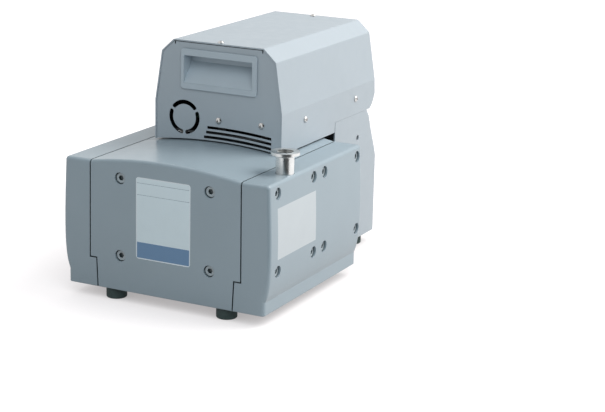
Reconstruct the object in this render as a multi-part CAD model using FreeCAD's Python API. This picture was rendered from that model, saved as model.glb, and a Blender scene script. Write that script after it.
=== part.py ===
import FreeCAD, Part
import math
import os
from FreeCAD import Vector

# Diaphragm vacuum pump with four heads: a curved pump casing on rubber feet, a motor
# behind it under a hood, and an electronics housing with a carrying handle on top.
# Everything is laid out in millimetres from the front face backwards (y) and from
# the floor upwards (z). The finished pieces are moved so that the origin lies
# under the middle of the machine.

os.makedirs("parts", exist_ok=True)

# Overall sizes
DEPTH = 352.0
PUMP_LENGTH = 215.0
CASING_BOTTOM = 12.4
CASING_TOP = 148.6
DOME_RISE = 7.3
WALL = 3.0
EDGE_ROUND = 3.8
FOOT_ROUND = 1.0

# Widths, from the middle outwards: the crankcase is about as wide as the motor behind
# it, the heads stand on its sides, and the casing clears the heads
MOTOR_R = 61.0
CASE_X = MOTOR_R - 1.0
RIM_THICK = 2.0
HEAD_X = CASE_X + RIM_THICK
HEAD_THICK = 16.0
COVER_X = HEAD_X + HEAD_THICK
COVER_THICK = 16.0
HEAD_OUT = COVER_X + COVER_THICK
HEAD_SIDE_ROOM = 23.0
PLINTH_X = HEAD_OUT + HEAD_SIDE_ROOM
PLINTH_TOP = 27.0
DOME_HALF = PLINTH_X - 29.0

# Half-width of the casing above the plinth, as (bulge beyond the plinth, z)
FLANK_BULGE = 5.8
FLANK = ((0.0, PLINTH_TOP), (1.5, PLINTH_TOP + 4.0), (4.2, PLINTH_TOP + 17.0), (5.6, PLINTH_TOP + 35.0),
         (FLANK_BULGE, CASING_TOP - 68.6), (4.9, CASING_TOP - 33.6), (3.4, CASING_TOP))
FLANK_MAX = PLINTH_X + FLANK_BULGE

# Joints between the front cover and the side covers
SEAM_X = PLINTH_X - 27.0
SEAM_TOP_X = SEAM_X - 0.9
SEAM_STEP_Z = 44.2
SEAM_LOW_X = SEAM_X - 8.0
SEAM_FOOT_X = SEAM_LOW_X - 2.0
SEAM_GAP = 1.4
SEAM_LIP = 3.5
LIP_THICK = 2.0
TOP_SEAM_Y = 110.0

# Pump stages: four heads, two on each side of a lengthways shaft
SHAFT_DROP = 51.8
SHAFT_Z = CASING_TOP - SHAFT_DROP
FRONT_ROOM = 13.5
HEAD_GAP = 15.2
REAR_ROOM = 6.3
HEAD_LENGTH = (PUMP_LENGTH - FRONT_ROOM - HEAD_GAP - REAR_ROOM) / 2
STAGE_Y = (FRONT_ROOM + HEAD_LENGTH / 2, PUMP_LENGTH - REAR_ROOM - HEAD_LENGTH / 2)
STAGE_MIDDLE = (STAGE_Y[0] + STAGE_Y[1]) / 2
STAGE_THROW = (1.0, -1.0)
THROW = 3.0
HEAD_ROOM = 3.8
HEAD_HEIGHT = 2 * (SHAFT_DROP - WALL - HEAD_ROOM)
HEAD_ROUND = 7.0
FIN_PITCH = 6.5
FIN_GROOVE = 3.5
FIN_DEPTH = 4.0
HEAD_SCREW_Y = HEAD_LENGTH / 2 - 5.0
HEAD_SCREW_Z = HEAD_HEIGHT / 2 - 4.6
DIAPHRAGM_THICK = 3.0
ROD_LENGTH = CASE_X + 1.0
ROD_THICK = 12.0
ROD_OFFSET = ROD_THICK / 2 + 1.0
BORE_R = min(HEAD_LENGTH, HEAD_HEIGHT) / 2 - 14.0
DISC_R = BORE_R - 10.0
CHAMBER_DEPTH = 9.5
VALVE_PITCH = 26.0
VALVE_R = 9.0
VALVE_THICK = 1.2
GALLERY_R = 4.0
PIPE_R = 5.0
FIT = 0.03

# Crankcase, shaft and bearings
CASE_FRONT = 14.0
CASE_BACK = PUMP_LENGTH - 9.0
CASE_LOW = SHAFT_Z - 52.8
CASE_HIGH = SHAFT_Z + HEAD_HEIGHT / 2 + 0.2
CASE_WALL = 8.0
CASE_END = 10.0
SHAFT_R = 7.5
BEARING_R = 17.5
BEARING_WIDTH = 10.0
ECCENTRIC_R = SHAFT_R + THROW + 3.5
ROD_BEARING_R = ECCENTRIC_R + 7.0
BIG_END_R = ROD_BEARING_R + 6.0
COVER_SPIGOT_R = BEARING_R + 10.5
COVER_FLANGE_R = COVER_SPIGOT_R + 6.0
WEIGHT_R = 32.0
WEIGHT_THICK = 10.0
WEIGHT_OFFSET = 31.6

# Base plate and feet
PLATE_Z = CASING_BOTTOM + 0.5
PLATE_THICK = 6.0
PLATE_TOP = PLATE_Z + PLATE_THICK
PLATE_HALF = PLINTH_X - 5.0
PLATE_MARGIN = 5.5
FOOT_R = 11.0
FOOT_PLACES = ((66.5, FOOT_R + 3.5), (60.0, DEPTH - 24.0))
AIR_SLOT_WIDTH = 3.5

# Motor and fan behind the pump
MOTOR_WALL = 3.5
MOTOR_END = DEPTH - 52.0
STATOR = (CASE_BACK + 18.0, MOTOR_END - 16.0)
STATOR_IN = MOTOR_R - 27.0
AIR_GAP = 0.6
ROTOR_R = STATOR_IN - AIR_GAP
ROTOR = (STATOR[0] + 2.0, STATOR[1] - 2.0)
BELL_THICK = 8.0
FAN = (MOTOR_END + 14.0, MOTOR_END + 30.0)
FAN_R = MOTOR_R - 15.0
FAN_BLADES = 7
SHAFT_END = FAN[1] + 3.0

# Hood over the motor, as (y, z) round its side view
HOOD_HALF = MOTOR_R + 16.0
HOOD_FRONT = PUMP_LENGTH + 23.8
HOOD_TOP = SHAFT_Z + MOTOR_R + 5.2
HOOD_LOW = PLATE_Z + 0.3
HOOD_WALL = 1.5
HOOD_ROUND = 3.0
HOOD_HOLE_R = 3.0
TAIL_HALF = HOOD_HALF - HOOD_WALL - 0.2
HOOD_SLOPE = ((DEPTH, HOOD_TOP - 59.0), (DEPTH - 3.5, HOOD_TOP - 49.5),
              (DEPTH - 14.0, HOOD_TOP - 27.0), (DEPTH - 22.0, HOOD_TOP - 7.2))
HOOD_TOP_END = DEPTH - 28.0
GRILLE_HALF = 56.0
GRILLE_Z = (HOOD_LOW + 16.0, SHAFT_Z + 1.2)

# Electronics housing: half of its cross-section and its side view
HOUSING_TOP = HOOD_TOP + 99.9
FLOOR_Z = HOOD_TOP + 0.2
COVER_LOW = CASING_TOP + 3.5
HOUSING_SECTION = ((HOOD_HALF - 22.8, HOUSING_TOP), (HOOD_HALF - 8.2, HOUSING_TOP - 13.4),
                   (HOOD_HALF, HOUSING_TOP - 67.9), (HOOD_HALF, CASING_TOP))
HOUSING_FRONT = 108.7
HOUSING_SIDE = ((HOUSING_FRONT, HOUSING_TOP + 5.0), (DEPTH - 12.8, HOUSING_TOP + 5.0),
                (DEPTH - 10.6, FLOOR_Z + 28.8), (DEPTH - 9.5, FLOOR_Z + 15.8),
                (DEPTH - 13.7, FLOOR_Z + 8.2), (DEPTH - 18.0, FLOOR_Z + 3.1),
                (DEPTH - 22.7, FLOOR_Z), (HOOD_FRONT - 1.0, FLOOR_Z),
                (HOOD_FRONT - 1.0, COVER_LOW), (HOUSING_FRONT, COVER_LOW))
SHEET = 1.5
FOLD_R = 2.8
PANEL_THICK = 2.0
PANEL_SET_BACK = 0.8
PANEL_FRONT = HOUSING_FRONT + PANEL_SET_BACK
PANEL_BACK = PANEL_FRONT + PANEL_THICK
REAR_PANEL_Y = DEPTH - 26.0
PANEL_OUT = REAR_PANEL_Y + PANEL_THICK

# Openings in the front panel
RING_VENT = (-41.0, CASING_TOP + 30.8)
RING_R = 16.4
RING_SLOT = 4.6
RING_GAP = 27.0
LOUVRE_PEAKS = (CASING_TOP + 22.9, CASING_TOP + 17.6, CASING_TOP + 12.3)
LOUVRE_LEFT = (-12.5, -14.1, -16.7)
LOUVRE_RIGHT = 64.5
LOUVRE_WIDTH = 3.0
GRIP_RIM = ((-44.7, 47.0), (HOUSING_TOP - 52.1, HOUSING_TOP - 8.9))
GRIP_MOUTH = ((-41.0, 41.5), (HOUSING_TOP - 45.9, HOUSING_TOP - 15.9))
GRIP_RAISE = 2.2
GRIP_RIM_THICK = 1.1
GRIP_NECK = 1.0
GRIP_DEEP = 15.0
GRIP_WALL = 2.0
GRIP_CORNER = 2.0
RELIEF = (0.6, 2.8)

# Screws of the housing: in the front panel (x, z), in each side (y, z) and on top (y)
PANEL_SCREWS = ((1.1, CASING_TOP + 31.4), (52.6, CASING_TOP + 31.9))
SIDE_FIXINGS = ((HOUSING_FRONT + 54.7, FLOOR_Z + 17.5), (REAR_PANEL_Y - 36.1, FLOOR_Z + 18.1))
TOP_FIXINGS = (HOUSING_FRONT + 5.8, REAR_PANEL_Y + 6.0)
FIXING_R = 2.1
TAPPED_R = 1.5

# Cover screws, given as the centre of each recess
RECESS_R = 6.25
RECESS_DEPTH = 5.7
HEAD_R = 5.4
HEAD_H = 3.2
SOCKET_HEAD_R = 3.1
SHANK_R = 3.0
SHANK_ROOM = 0.2
BOSS_R = 9.0
FRONT_SCREWS = ((53.0, SHAFT_Z + 36.6), (53.0, SHAFT_Z - 46.5))

# Plates let into the casing
RATING = ((-33.5, 31.0), (50.9, CASING_TOP - 10.8))
SIDE_PLATE = ((16.8, 102.4), (69.0, CASING_TOP - 26.4))
PLATE_SKIN = 0.5

# Vacuum connections
INLET = (HEAD_OUT + 14.3, STAGE_Y[0] - 1.7)
INLET_TOP = CASING_TOP + 22.8
FLANGE_R = 15.0
TUBE_R = 9.5
TUBE_BORE_R = 8.0
PORT_Z = SHAFT_Z + 15.2
REAR_PORT_X = HEAD_OUT - 7.5
REAR_PORT_Z = SHAFT_Z - 22.8
REAR_PORT_SHIFT = 14.0
LINK_THICK = 3.0
STUB_R = 6.0
NOZZLE_R = 5.0
SPINDLE_R = 4.0
KNOB_R = 11.0

# Limits that lie beyond every piece, for cutting tools
FAR = 2 * (DEPTH + PUMP_LENGTH)


def box(xs, ys, zs):
    """Block between pairs of limits."""
    low = Vector(min(xs), min(ys), min(zs))
    return Part.makeBox(abs(xs[1] - xs[0]), abs(ys[1] - ys[0]), abs(zs[1] - zs[0]), low)


def cyl_x(y, z, radius, x0, x1):
    return Part.makeCylinder(radius, abs(x1 - x0), Vector(min(x0, x1), y, z), Vector(1, 0, 0))


def cyl_y(x, z, radius, y0, y1):
    return Part.makeCylinder(radius, y1 - y0, Vector(x, y0, z), Vector(0, 1, 0))


def cyl_z(x, y, radius, z0, z1):
    return Part.makeCylinder(radius, z1 - z0, Vector(x, y, z0), Vector(0, 0, 1))


def prism(points, along):
    """Straight prism over a closed outline."""
    wire = Part.makePolygon(list(points) + [points[0]])
    return Part.Face(wire).extrude(along)


def side_prism(outline, x0, x1):
    """Prism across the machine over an outline of (y, z) points."""
    return prism([Vector(x0, y, z) for y, z in outline], Vector(x1 - x0, 0, 0))


def front_prism(outline, y0, y1):
    """Prism along the machine over an outline of (x, z) points."""
    return prism([Vector(x, y0, z) for x, z in outline], Vector(0, y1 - y0, 0))


def union(shapes):
    first, *rest = shapes
    return first.multiFuse(rest).removeSplitter() if rest else first


def mirrored(shape):
    return shape.mirror(Vector(0, 0, 0), Vector(1, 0, 0))


def rounded_edges(shape, radius, wanted):
    """Fillet the edges whose middle point satisfies a test."""
    edges = [e for e in shape.Edges if wanted(e.CenterOfMass)]
    return shape.makeFillet(radius, edges) if edges else shape


def profile_ring(points, origin, axis):
    """Solid of revolution; points are (distance along the axis, radius)."""
    side = Vector(0, 0, 1) if abs(axis.z) < 0.5 else Vector(1, 0, 0)
    ring = [origin + axis * along + side * radius for along, radius in points]
    face = Part.Face(Part.makePolygon(ring + [ring[0]]))
    return face.revolve(origin, axis, 360)


def arc_slot(x, z, radius, width, start, end, y0, y1):
    """Curved slot with round ends about a centre, angles in degrees from +X upwards."""
    outer = Part.makeCylinder(radius + width / 2, y1 - y0, Vector(x, y1, z), Vector(0, -1, 0), end - start)
    inner = Part.makeCylinder(radius - width / 2, y1 - y0, Vector(x, y1, z), Vector(0, -1, 0))
    slot = outer.cut(inner)
    slot.rotate(Vector(x, 0, z), Vector(0, -1, 0), start)
    ends = []
    for angle in (start, end):
        turn = math.radians(angle)
        ends.append(cyl_y(x + radius * math.cos(turn), z + radius * math.sin(turn), width / 2, y0, y1))
    return union([slot] + ends)


NODES = {}


def add(name, shape):
    """Keep a finished piece under its node name."""
    NODES[name] = shape


# Pump casing

DOME_R = (DOME_HALF ** 2 + DOME_RISE ** 2) / (2 * DOME_RISE)
DOME_CENTRE = CASING_TOP + DOME_RISE - DOME_R


def casing_block(inset, low):
    """The casing's outline shrunk by an inset, from a given height upwards."""
    top = CASING_TOP - inset
    right = [Vector(PLINTH_X + bulge - inset, inset, min(z, top)) for bulge, z in FLANK]
    left = [Vector(-p.x, p.y, p.z) for p in reversed(right)]
    flanks = []
    for points in (right, left):
        curve = Part.BSplineCurve()
        curve.interpolate(points)
        flanks.append(curve.toShape())
    dome_r = Vector(DOME_HALF, inset, top)
    dome_l = Vector(-DOME_HALF, inset, top)
    foot_r = Vector(PLINTH_X - inset, inset, low)
    foot_l = Vector(inset - PLINTH_X, inset, low)
    outline = [
        Part.makeLine(foot_l, foot_r),
        Part.makeLine(foot_r, right[0]),
        flanks[0],
        Part.makeLine(right[-1], dome_r),
        Part.Arc(dome_r, Vector(0, inset, top + DOME_RISE), dome_l).toShape(),
        Part.makeLine(dome_l, left[0]),
        flanks[1],
        Part.makeLine(left[-1], foot_l),
    ]
    face = Part.Face(Part.Wire(outline))
    return face.extrude(Vector(0, PUMP_LENGTH - 2 * inset, 0))


def casing_edge(p):
    """True on the outline of the two end faces above the bottom and along the top corners."""
    end = min(abs(p.y), abs(p.y - PUMP_LENGTH)) < 0.01 and p.z > CASING_BOTTOM + 0.01
    return end or (abs(p.z - CASING_TOP) < 0.01 and abs(p.x) > PLINTH_X - 0.01)


def flank_x(level):
    """Half-width of the casing at a height above the plinth."""
    for (bulge, z), (next_bulge, next_z) in zip(FLANK, FLANK[1:]):
        if z <= level <= next_z:
            return PLINTH_X + bulge + (next_bulge - bulge) * (level - z) / (next_z - z)
    return PLINTH_X


def between_seams(grow):
    """Everything between the two side covers, widened by an amount."""
    half = [(SEAM_TOP_X + grow, FAR), (SEAM_TOP_X + grow, CASING_TOP), (SEAM_X + grow, SEAM_STEP_Z - grow),
            (SEAM_LOW_X + grow, SEAM_STEP_Z - grow), (SEAM_FOOT_X + grow, 0.0)]
    outline = half + [(-x, z) for x, z in reversed(half)]
    return front_prism(outline, -1.0, PUMP_LENGTH + 1.0)


CASING = rounded_edges(casing_block(0.0, CASING_BOTTOM), EDGE_ROUND, casing_edge)
CASING = rounded_edges(CASING, FOOT_ROUND, lambda p: abs(p.z - CASING_BOTTOM) < 0.01)
HOLLOW = casing_block(WALL, 0.0)
SHELL = CASING.cut(HOLLOW)
LIP_SPACE = casing_block(WALL + 0.1, CASING_BOTTOM).cut(casing_block(WALL + LIP_THICK, 0.0))
LIP_ROOT = casing_block(WALL - 0.5, CASING_BOTTOM).cut(casing_block(WALL + LIP_THICK, 0.0))
SKIN = CASING.cut(casing_block(PLATE_SKIN, 0.0))
CENTRE = between_seams(-SEAM_GAP / 2)
LIP_BAND = between_seams(SEAM_LIP).cut(between_seams(-SEAM_LIP))
ROOT_BAND = between_seams(-SEAM_GAP).cut(between_seams(-SEAM_LIP))


def lengthways(y0, y1):
    return box((-FAR, FAR), (y0, y1), (0.0, FAR))


# The front cover wraps from the front face on to the dome. Lips behind its edges
# close the seams to the side covers and to the rear cover.
front_zone = lengthways(-1.0, TOP_SEAM_Y)
cross_lip = lengthways(TOP_SEAM_Y - 6.0, TOP_SEAM_Y + SEAM_LIP).common(between_seams(-SEAM_LIP))
cross_lip = cross_lip.common(box((8.0 - DOME_HALF, DOME_HALF - 8.0), (0.0, FAR), (CASING_TOP - 28.0, FAR)))
cross_root = cross_lip.common(lengthways(0.0, TOP_SEAM_Y - 0.5))
front_cover = union([
    SHELL.common(CENTRE).common(front_zone),
    LIP_SPACE.common(LIP_BAND).common(front_zone),
    LIP_ROOT.common(ROOT_BAND).common(lengthways(-1.0, TOP_SEAM_Y - 1.0)),
    LIP_SPACE.common(cross_lip),
    LIP_ROOT.common(cross_root),
])
front_recesses = []
front_screws = []
for x, z in FRONT_SCREWS + tuple((-x, z) for x, z in FRONT_SCREWS):
    front_cover = front_cover.fuse(cyl_y(x, z, BOSS_R, 1.0, CASE_FRONT))
    front_recesses.append(cyl_y(x, z, RECESS_R, -1.0, RECESS_DEPTH))
    front_recesses.append(cyl_y(x, z, SHANK_R + SHANK_ROOM, 0.0, CASE_FRONT + 1.0))
(rx, rz) = RATING
rating_block = rounded_edges(box(rx, (-1.0, PLATE_SKIN), rz), 3.0,
                             lambda p: abs(p.y - (PLATE_SKIN - 1.0) / 2) < 0.01)
front_cover = front_cover.cut(Part.makeCompound(front_recesses)).cut(rating_block)
add("front_cover", front_cover.removeSplitter())
add("rating_plate", rating_block.common(lengthways(0.0, PLATE_SKIN)))

# The rear cover carries the dome on to the back wall, which the motor passes through.
rear_zone = lengthways(TOP_SEAM_Y + SEAM_GAP, PUMP_LENGTH + 1.0)
rear_lips = lengthways(TOP_SEAM_Y + SEAM_LIP + 1.0, PUMP_LENGTH + 1.0)
rear_cover = union([
    SHELL.common(CENTRE).common(rear_zone),
    LIP_SPACE.common(LIP_BAND).common(rear_lips),
    LIP_ROOT.common(ROOT_BAND).common(rear_lips),
])
rear_cover = rear_cover.cut(cyl_y(0.0, SHAFT_Z, MOTOR_R + 2.5, CASE_BACK - 3.0, PUMP_LENGTH + 1.0))
tail_space = box((-TAIL_HALF - 0.5, TAIL_HALF + 0.5), (CASE_BACK - 3.0, PUMP_LENGTH + 1.0),
                 (0.0, PLATE_TOP + 0.5))
rear_cover = rear_cover.cut(tail_space)
for s in (-1, 1):
    link_space = box((s * COVER_X, s * (HEAD_OUT + 6.0)), (CASE_BACK - 6.0, PUMP_LENGTH - WALL),
                     (REAR_PORT_Z - 10.0, REAR_PORT_Z + 10.0))
    rear_cover = rear_cover.cut(link_space)
add("rear_cover", rear_cover.removeSplitter())

# The side covers wrap round on to the front, the top and the back. Each is held by
# eight screws in deep recesses, over bosses that stand on the pump heads.
SIDE_SCREWS = [(stage + dy, SHAFT_Z + dz) for stage in STAGE_Y
               for dy in (-HEAD_SCREW_Y, HEAD_SCREW_Y) for dz in (-HEAD_SCREW_Z, HEAD_SCREW_Z)]
RECESS_FLOORS = [flank_x(z) - RECESS_DEPTH for y, z in SIDE_SCREWS]
side_wall = SHELL.cut(between_seams(SEAM_GAP / 2)).common(box((0.0, FAR), (-1.0, FAR), (0.0, FAR)))
bosses = [cyl_x(y, z, BOSS_R, HEAD_OUT, FLANK_MAX) for y, z in SIDE_SCREWS]
side_wall = side_wall.fuse(Part.makeCompound(bosses).common(CASING).common(casing_block(0.5, 0.0)))
for (y, z), floor_x in zip(SIDE_SCREWS, RECESS_FLOORS):
    side_wall = side_wall.cut(cyl_x(y, z, RECESS_R, floor_x, FLANK_MAX + 5.0))
    side_wall = side_wall.cut(cyl_x(y, z, SHANK_R + SHANK_ROOM, HEAD_OUT - 1.0, FLANK_MAX))
(py, pz) = SIDE_PLATE
plate_zone = box((SEAM_X, FAR), py, pz)
port_hole = cyl_y(REAR_PORT_X + REAR_PORT_SHIFT, REAR_PORT_Z, 8.2, CASE_BACK, PUMP_LENGTH + 1.0)
side_wall = side_wall.cut(port_hole)
right_cover = side_wall.cut(SKIN.common(plate_zone))
right_cover = right_cover.cut(cyl_z(INLET[0], INLET[1], TUBE_R + 0.3, PORT_Z, INLET_TOP))
add("right_side_cover", right_cover.removeSplitter())
add("left_side_cover", mirrored(side_wall).removeSplitter())
add("side_plate", SKIN.common(plate_zone))


def recessed_screw(tip):
    """Cylinder-head screw along -x from the origin, head top at x = 0, with a hexagon socket."""
    head = cyl_x(0.0, 0.0, HEAD_R, 0.0, -HEAD_H)
    shank = cyl_x(0.0, 0.0, SHANK_R, -HEAD_H, -tip)
    corners = []
    for turn in range(0, 360, 60):
        angle = math.radians(turn)
        corners.append(Vector(0.0, SOCKET_HEAD_R * math.cos(angle), SOCKET_HEAD_R * math.sin(angle)))
    return head.fuse(shank).cut(prism(corners, Vector(-2.4, 0, 0)))


side_screws = []
for (y, z), floor_x in zip(SIDE_SCREWS, RECESS_FLOORS):
    screw = recessed_screw(floor_x + HEAD_H - HEAD_OUT + 12.0)
    screw.translate(Vector(floor_x + HEAD_H, y, z))
    side_screws += [screw, mirrored(screw)]
add("side_cover_screws", Part.makeCompound(side_screws))
for x, z in FRONT_SCREWS + tuple((-x, z) for x, z in FRONT_SCREWS):
    screw = recessed_screw(CASE_FRONT - RECESS_DEPTH + HEAD_H + 8.0)
    screw.rotate(Vector(0, 0, 0), Vector(0, 0, 1), -90)
    screw.translate(Vector(x, RECESS_DEPTH - HEAD_H, z))
    front_screws.append(screw)
add("front_cover_screws", Part.makeCompound(front_screws))

# Base plate with a narrow tail under the motor, on four rubber feet
base = union([
    box((-PLATE_HALF, PLATE_HALF), (PLATE_MARGIN, PUMP_LENGTH - PLATE_MARGIN), (PLATE_Z, PLATE_TOP)),
    box((-TAIL_HALF, TAIL_HALF), (STAGE_MIDDLE, DEPTH - PLATE_MARGIN), (PLATE_Z, PLATE_TOP)),
])
air_slots = []
for k in range(-2, 3):
    middle = 10.0 * k
    air_slots.append(box((middle - AIR_SLOT_WIDTH / 2, middle + AIR_SLOT_WIDTH / 2),
                         (STAGE_Y[0], STAGE_MIDDLE - 15.0), (0.0, PLATE_TOP + 1.0)))
feet = []
for x, y in FOOT_PLACES + tuple((-x, y) for x, y in FOOT_PLACES):
    foot = cyl_z(x, y, FOOT_R, 0.0, PLATE_Z)
    foot = rounded_edges(foot, 1.5, lambda p: p.z < 0.01)
    feet.append(foot.cut(cyl_z(x, y, FOOT_R - 6.0, 0.0, 5.0)))
add("rubber_feet", Part.makeCompound(feet))
add("base_plate", base.cut(Part.makeCompound(air_slots)))

# Crankcase casting: an open box with a bore for each diaphragm, on two rails
def case_x(side, y, radius, inner, outer):
    return cyl_x(y, SHAFT_Z, radius, side * inner, side * outer)


case = box((-CASE_X, CASE_X), (CASE_FRONT, CASE_BACK), (CASE_LOW, CASE_HIGH))
case = rounded_edges(case, 5.0, lambda p: abs(p.x) > CASE_X - 1 and CASE_FRONT + 1 < p.y < CASE_BACK - 1
                     and min(abs(p.z - CASE_LOW), abs(p.z - CASE_HIGH)) < 0.01)
case = case.cut(box((CASE_WALL - CASE_X, CASE_X - CASE_WALL), (CASE_FRONT + CASE_END, CASE_BACK - CASE_END),
                    (CASE_LOW + CASE_WALL, CASE_HIGH - 6.0)))
rails = [box((s * (CASE_X - 26.0), s * (CASE_X - 4.0)), (CASE_FRONT + 8.0, CASE_BACK - 8.0),
             (PLATE_TOP, CASE_LOW)) for s in (-1, 1)]
case = union([case] + rails)
for stage in STAGE_Y:
    for side in (-1, 1):
        case = case.cut(case_x(side, stage, BORE_R, CASE_X - CASE_WALL - 1, CASE_X + 1))
        flare = profile_ring([(CASE_X - 4.0, 0.0), (CASE_X - 4.0, BORE_R), (CASE_X, BORE_R + 2.0),
                              (CASE_X, 0.0)], Vector(0, stage, SHAFT_Z), Vector(1, 0, 0))
        case = case.cut(flare if side > 0 else mirrored(flare))
case = case.cut(cyl_y(0.0, SHAFT_Z, COVER_SPIGOT_R, CASE_FRONT - 1, CASE_FRONT + CASE_END + 1))
case = case.cut(cyl_y(0.0, SHAFT_Z, BEARING_R, CASE_BACK - BEARING_WIDTH, CASE_BACK + 1))
for screw in front_screws:
    case = case.cut(screw)
add("crankcase", case)

# Bearing cover that closes the front of the crankcase
bearing_cover = union([
    cyl_y(0.0, SHAFT_Z, COVER_FLANGE_R, CASE_FRONT - 5.0, CASE_FRONT),
    cyl_y(0.0, SHAFT_Z, COVER_SPIGOT_R, CASE_FRONT - 5.0, CASE_FRONT + CASE_END),
])
bearing_seat = cyl_y(0.0, SHAFT_Z, BEARING_R, CASE_FRONT, CASE_FRONT + CASE_END + 1)
add("bearing_cover", bearing_cover.cut(bearing_seat))
bearings = []
for y in (CASE_FRONT, CASE_BACK - BEARING_WIDTH, MOTOR_END + BELL_THICK - BEARING_WIDTH):
    ring = cyl_y(0.0, SHAFT_Z, BEARING_R, y, y + BEARING_WIDTH)
    bearings.append(ring.cut(cyl_y(0.0, SHAFT_Z, SHAFT_R + FIT, y - 1, y + BEARING_WIDTH + 1)))
add("shaft_bearings", Part.makeCompound(bearings))

# Shaft with two eccentrics set half a turn apart, each with a counterweight
shaft_parts = [cyl_y(0.0, SHAFT_Z, SHAFT_R, CASE_FRONT + 0.5, SHAFT_END)]
rod_bearings = []
counterweights = []
for stage, sign in zip(STAGE_Y, STAGE_THROW):
    centre = THROW * sign
    shaft_parts.append(cyl_y(centre, SHAFT_Z, ECCENTRIC_R, stage - 14.0, stage + 14.0))
    for offset in (-ROD_OFFSET, ROD_OFFSET):
        middle = stage + offset
        ring = cyl_y(centre, SHAFT_Z, ROD_BEARING_R, middle - 5.5, middle + 5.5)
        rod_bearings.append(ring.cut(cyl_y(centre, SHAFT_Z, ECCENTRIC_R, middle - 7, middle + 7)))
    weight_y = stage + sign * WEIGHT_OFFSET - WEIGHT_THICK / 2
    weight = cyl_y(0.0, SHAFT_Z, WEIGHT_R, weight_y, weight_y + WEIGHT_THICK)
    weight = weight.cut(box((0.0, sign * FAR), (0.0, FAR), (0.0, FAR)))
    hub = cyl_y(0.0, SHAFT_Z, SHAFT_R + 5.5, weight_y, weight_y + WEIGHT_THICK)
    counterweights.append(weight.fuse(hub).cut(cyl_y(0.0, SHAFT_Z, SHAFT_R, 0.0, FAR)))
add("crankshaft", union(shaft_parts))
add("rod_bearings", Part.makeCompound(rod_bearings))
add("counterweights", Part.makeCompound(counterweights))

# Connecting rods, their clamping discs and the diaphragms, one set for each head
X_AXIS = Vector(1, 0, 0)
HALF = DIAPHRAGM_THICK / 2
SIDES = {"right": 1, "left": -1}
STAGES = {"front": 0, "rear": 1}


def connecting_rod(offset):
    """Rod from its bearing at the origin to the diaphragm seat, pointing along +x."""
    ring = cyl_y(0.0, 0.0, BIG_END_R, offset - ROD_THICK / 2, offset + ROD_THICK / 2)
    seat = ROD_LENGTH - HALF
    neck = seat - 13.5
    half = ROD_THICK / 2 + 3.0
    root = ROD_BEARING_R - 1.0
    outline = [(root, offset - 5), (root, offset + 5), (neck, half), (seat - 6, half), (seat - 6, -half),
               (neck, -half), (BIG_END_R + 2, offset - 5)]
    web = prism([Vector(x, y, -half) for x, y in outline], Vector(0, 0, 2 * half))
    table = profile_ring([(seat - 7, 0), (seat - 7, DISC_R - 10), (seat - 3, DISC_R - 1),
                          (seat - 1, DISC_R), (seat, DISC_R - 2), (seat, 0)], Vector(0, 0, 0), X_AXIS)
    for s in (-1, 1):
        web = web.cut(box((BIG_END_R + 4, neck), (offset - 5.0, offset), (s * 3.5, s * 2 * half)))
    rod = union([ring, web, table])
    rod = rod.cut(cyl_y(0.0, 0.0, ROD_BEARING_R + FIT, -30, 30))
    return rod.cut(cyl_x(0.0, 0.0, 4.0, seat - 14, seat + 1))


def clamping_disc():
    """Disc that clamps the diaphragm on its rod, with its threaded stud."""
    seat = ROD_LENGTH + HALF
    disc = profile_ring([(seat, 0), (seat, DISC_R - 2), (seat + 1, DISC_R), (seat + 2.5, DISC_R - 1),
                         (seat + 4.5, DISC_R - 8), (seat + 4.5, 0)], Vector(0, 0, 0), X_AXIS)
    return disc.fuse(cyl_x(0.0, 0.0, 4.0, ROD_LENGTH - HALF - 13, seat)).removeSplitter()


def diaphragm(lift):
    """Moulded rubber disc clamped at the rim, its middle lifted along +x by the throw."""
    mid = ROD_LENGTH + lift
    rim = CASE_X
    flat = BORE_R + 6.0
    return profile_ring([
        (mid - HALF, 4.05), (mid - HALF, DISC_R - 2.5), (mid - HALF + 0.3, DISC_R + 1.0),
        (rim, BORE_R + 1.5), (rim, flat), (rim + RIM_THICK, flat), (rim + RIM_THICK, BORE_R + 0.5),
        (mid + HALF - 0.3, DISC_R + 1.5), (mid + HALF, DISC_R - 2.5), (mid + HALF, 4.05)],
        Vector(0, 0, 0), X_AXIS)


for side_name, side in SIDES.items():
    for stage_name, index in STAGES.items():
        stage = STAGE_Y[index]
        throw = THROW * STAGE_THROW[index]
        pieces = {
            "connecting_rod": connecting_rod(ROD_OFFSET),
            "clamping_disc": clamping_disc(),
            "diaphragm": diaphragm(throw * side),
        }
        for piece, shape in pieces.items():
            if side < 0:
                shape.rotate(Vector(0, 0, 0), Vector(0, 0, 1), 180)
            shift = 0.0 if piece == "diaphragm" else throw
            shape.translate(Vector(shift, stage, SHAFT_Z))
            add(f"{piece}_{stage_name}_{side_name}", shape)

# Pump heads with the chamber, an inlet valve above and an outlet valve below


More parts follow.
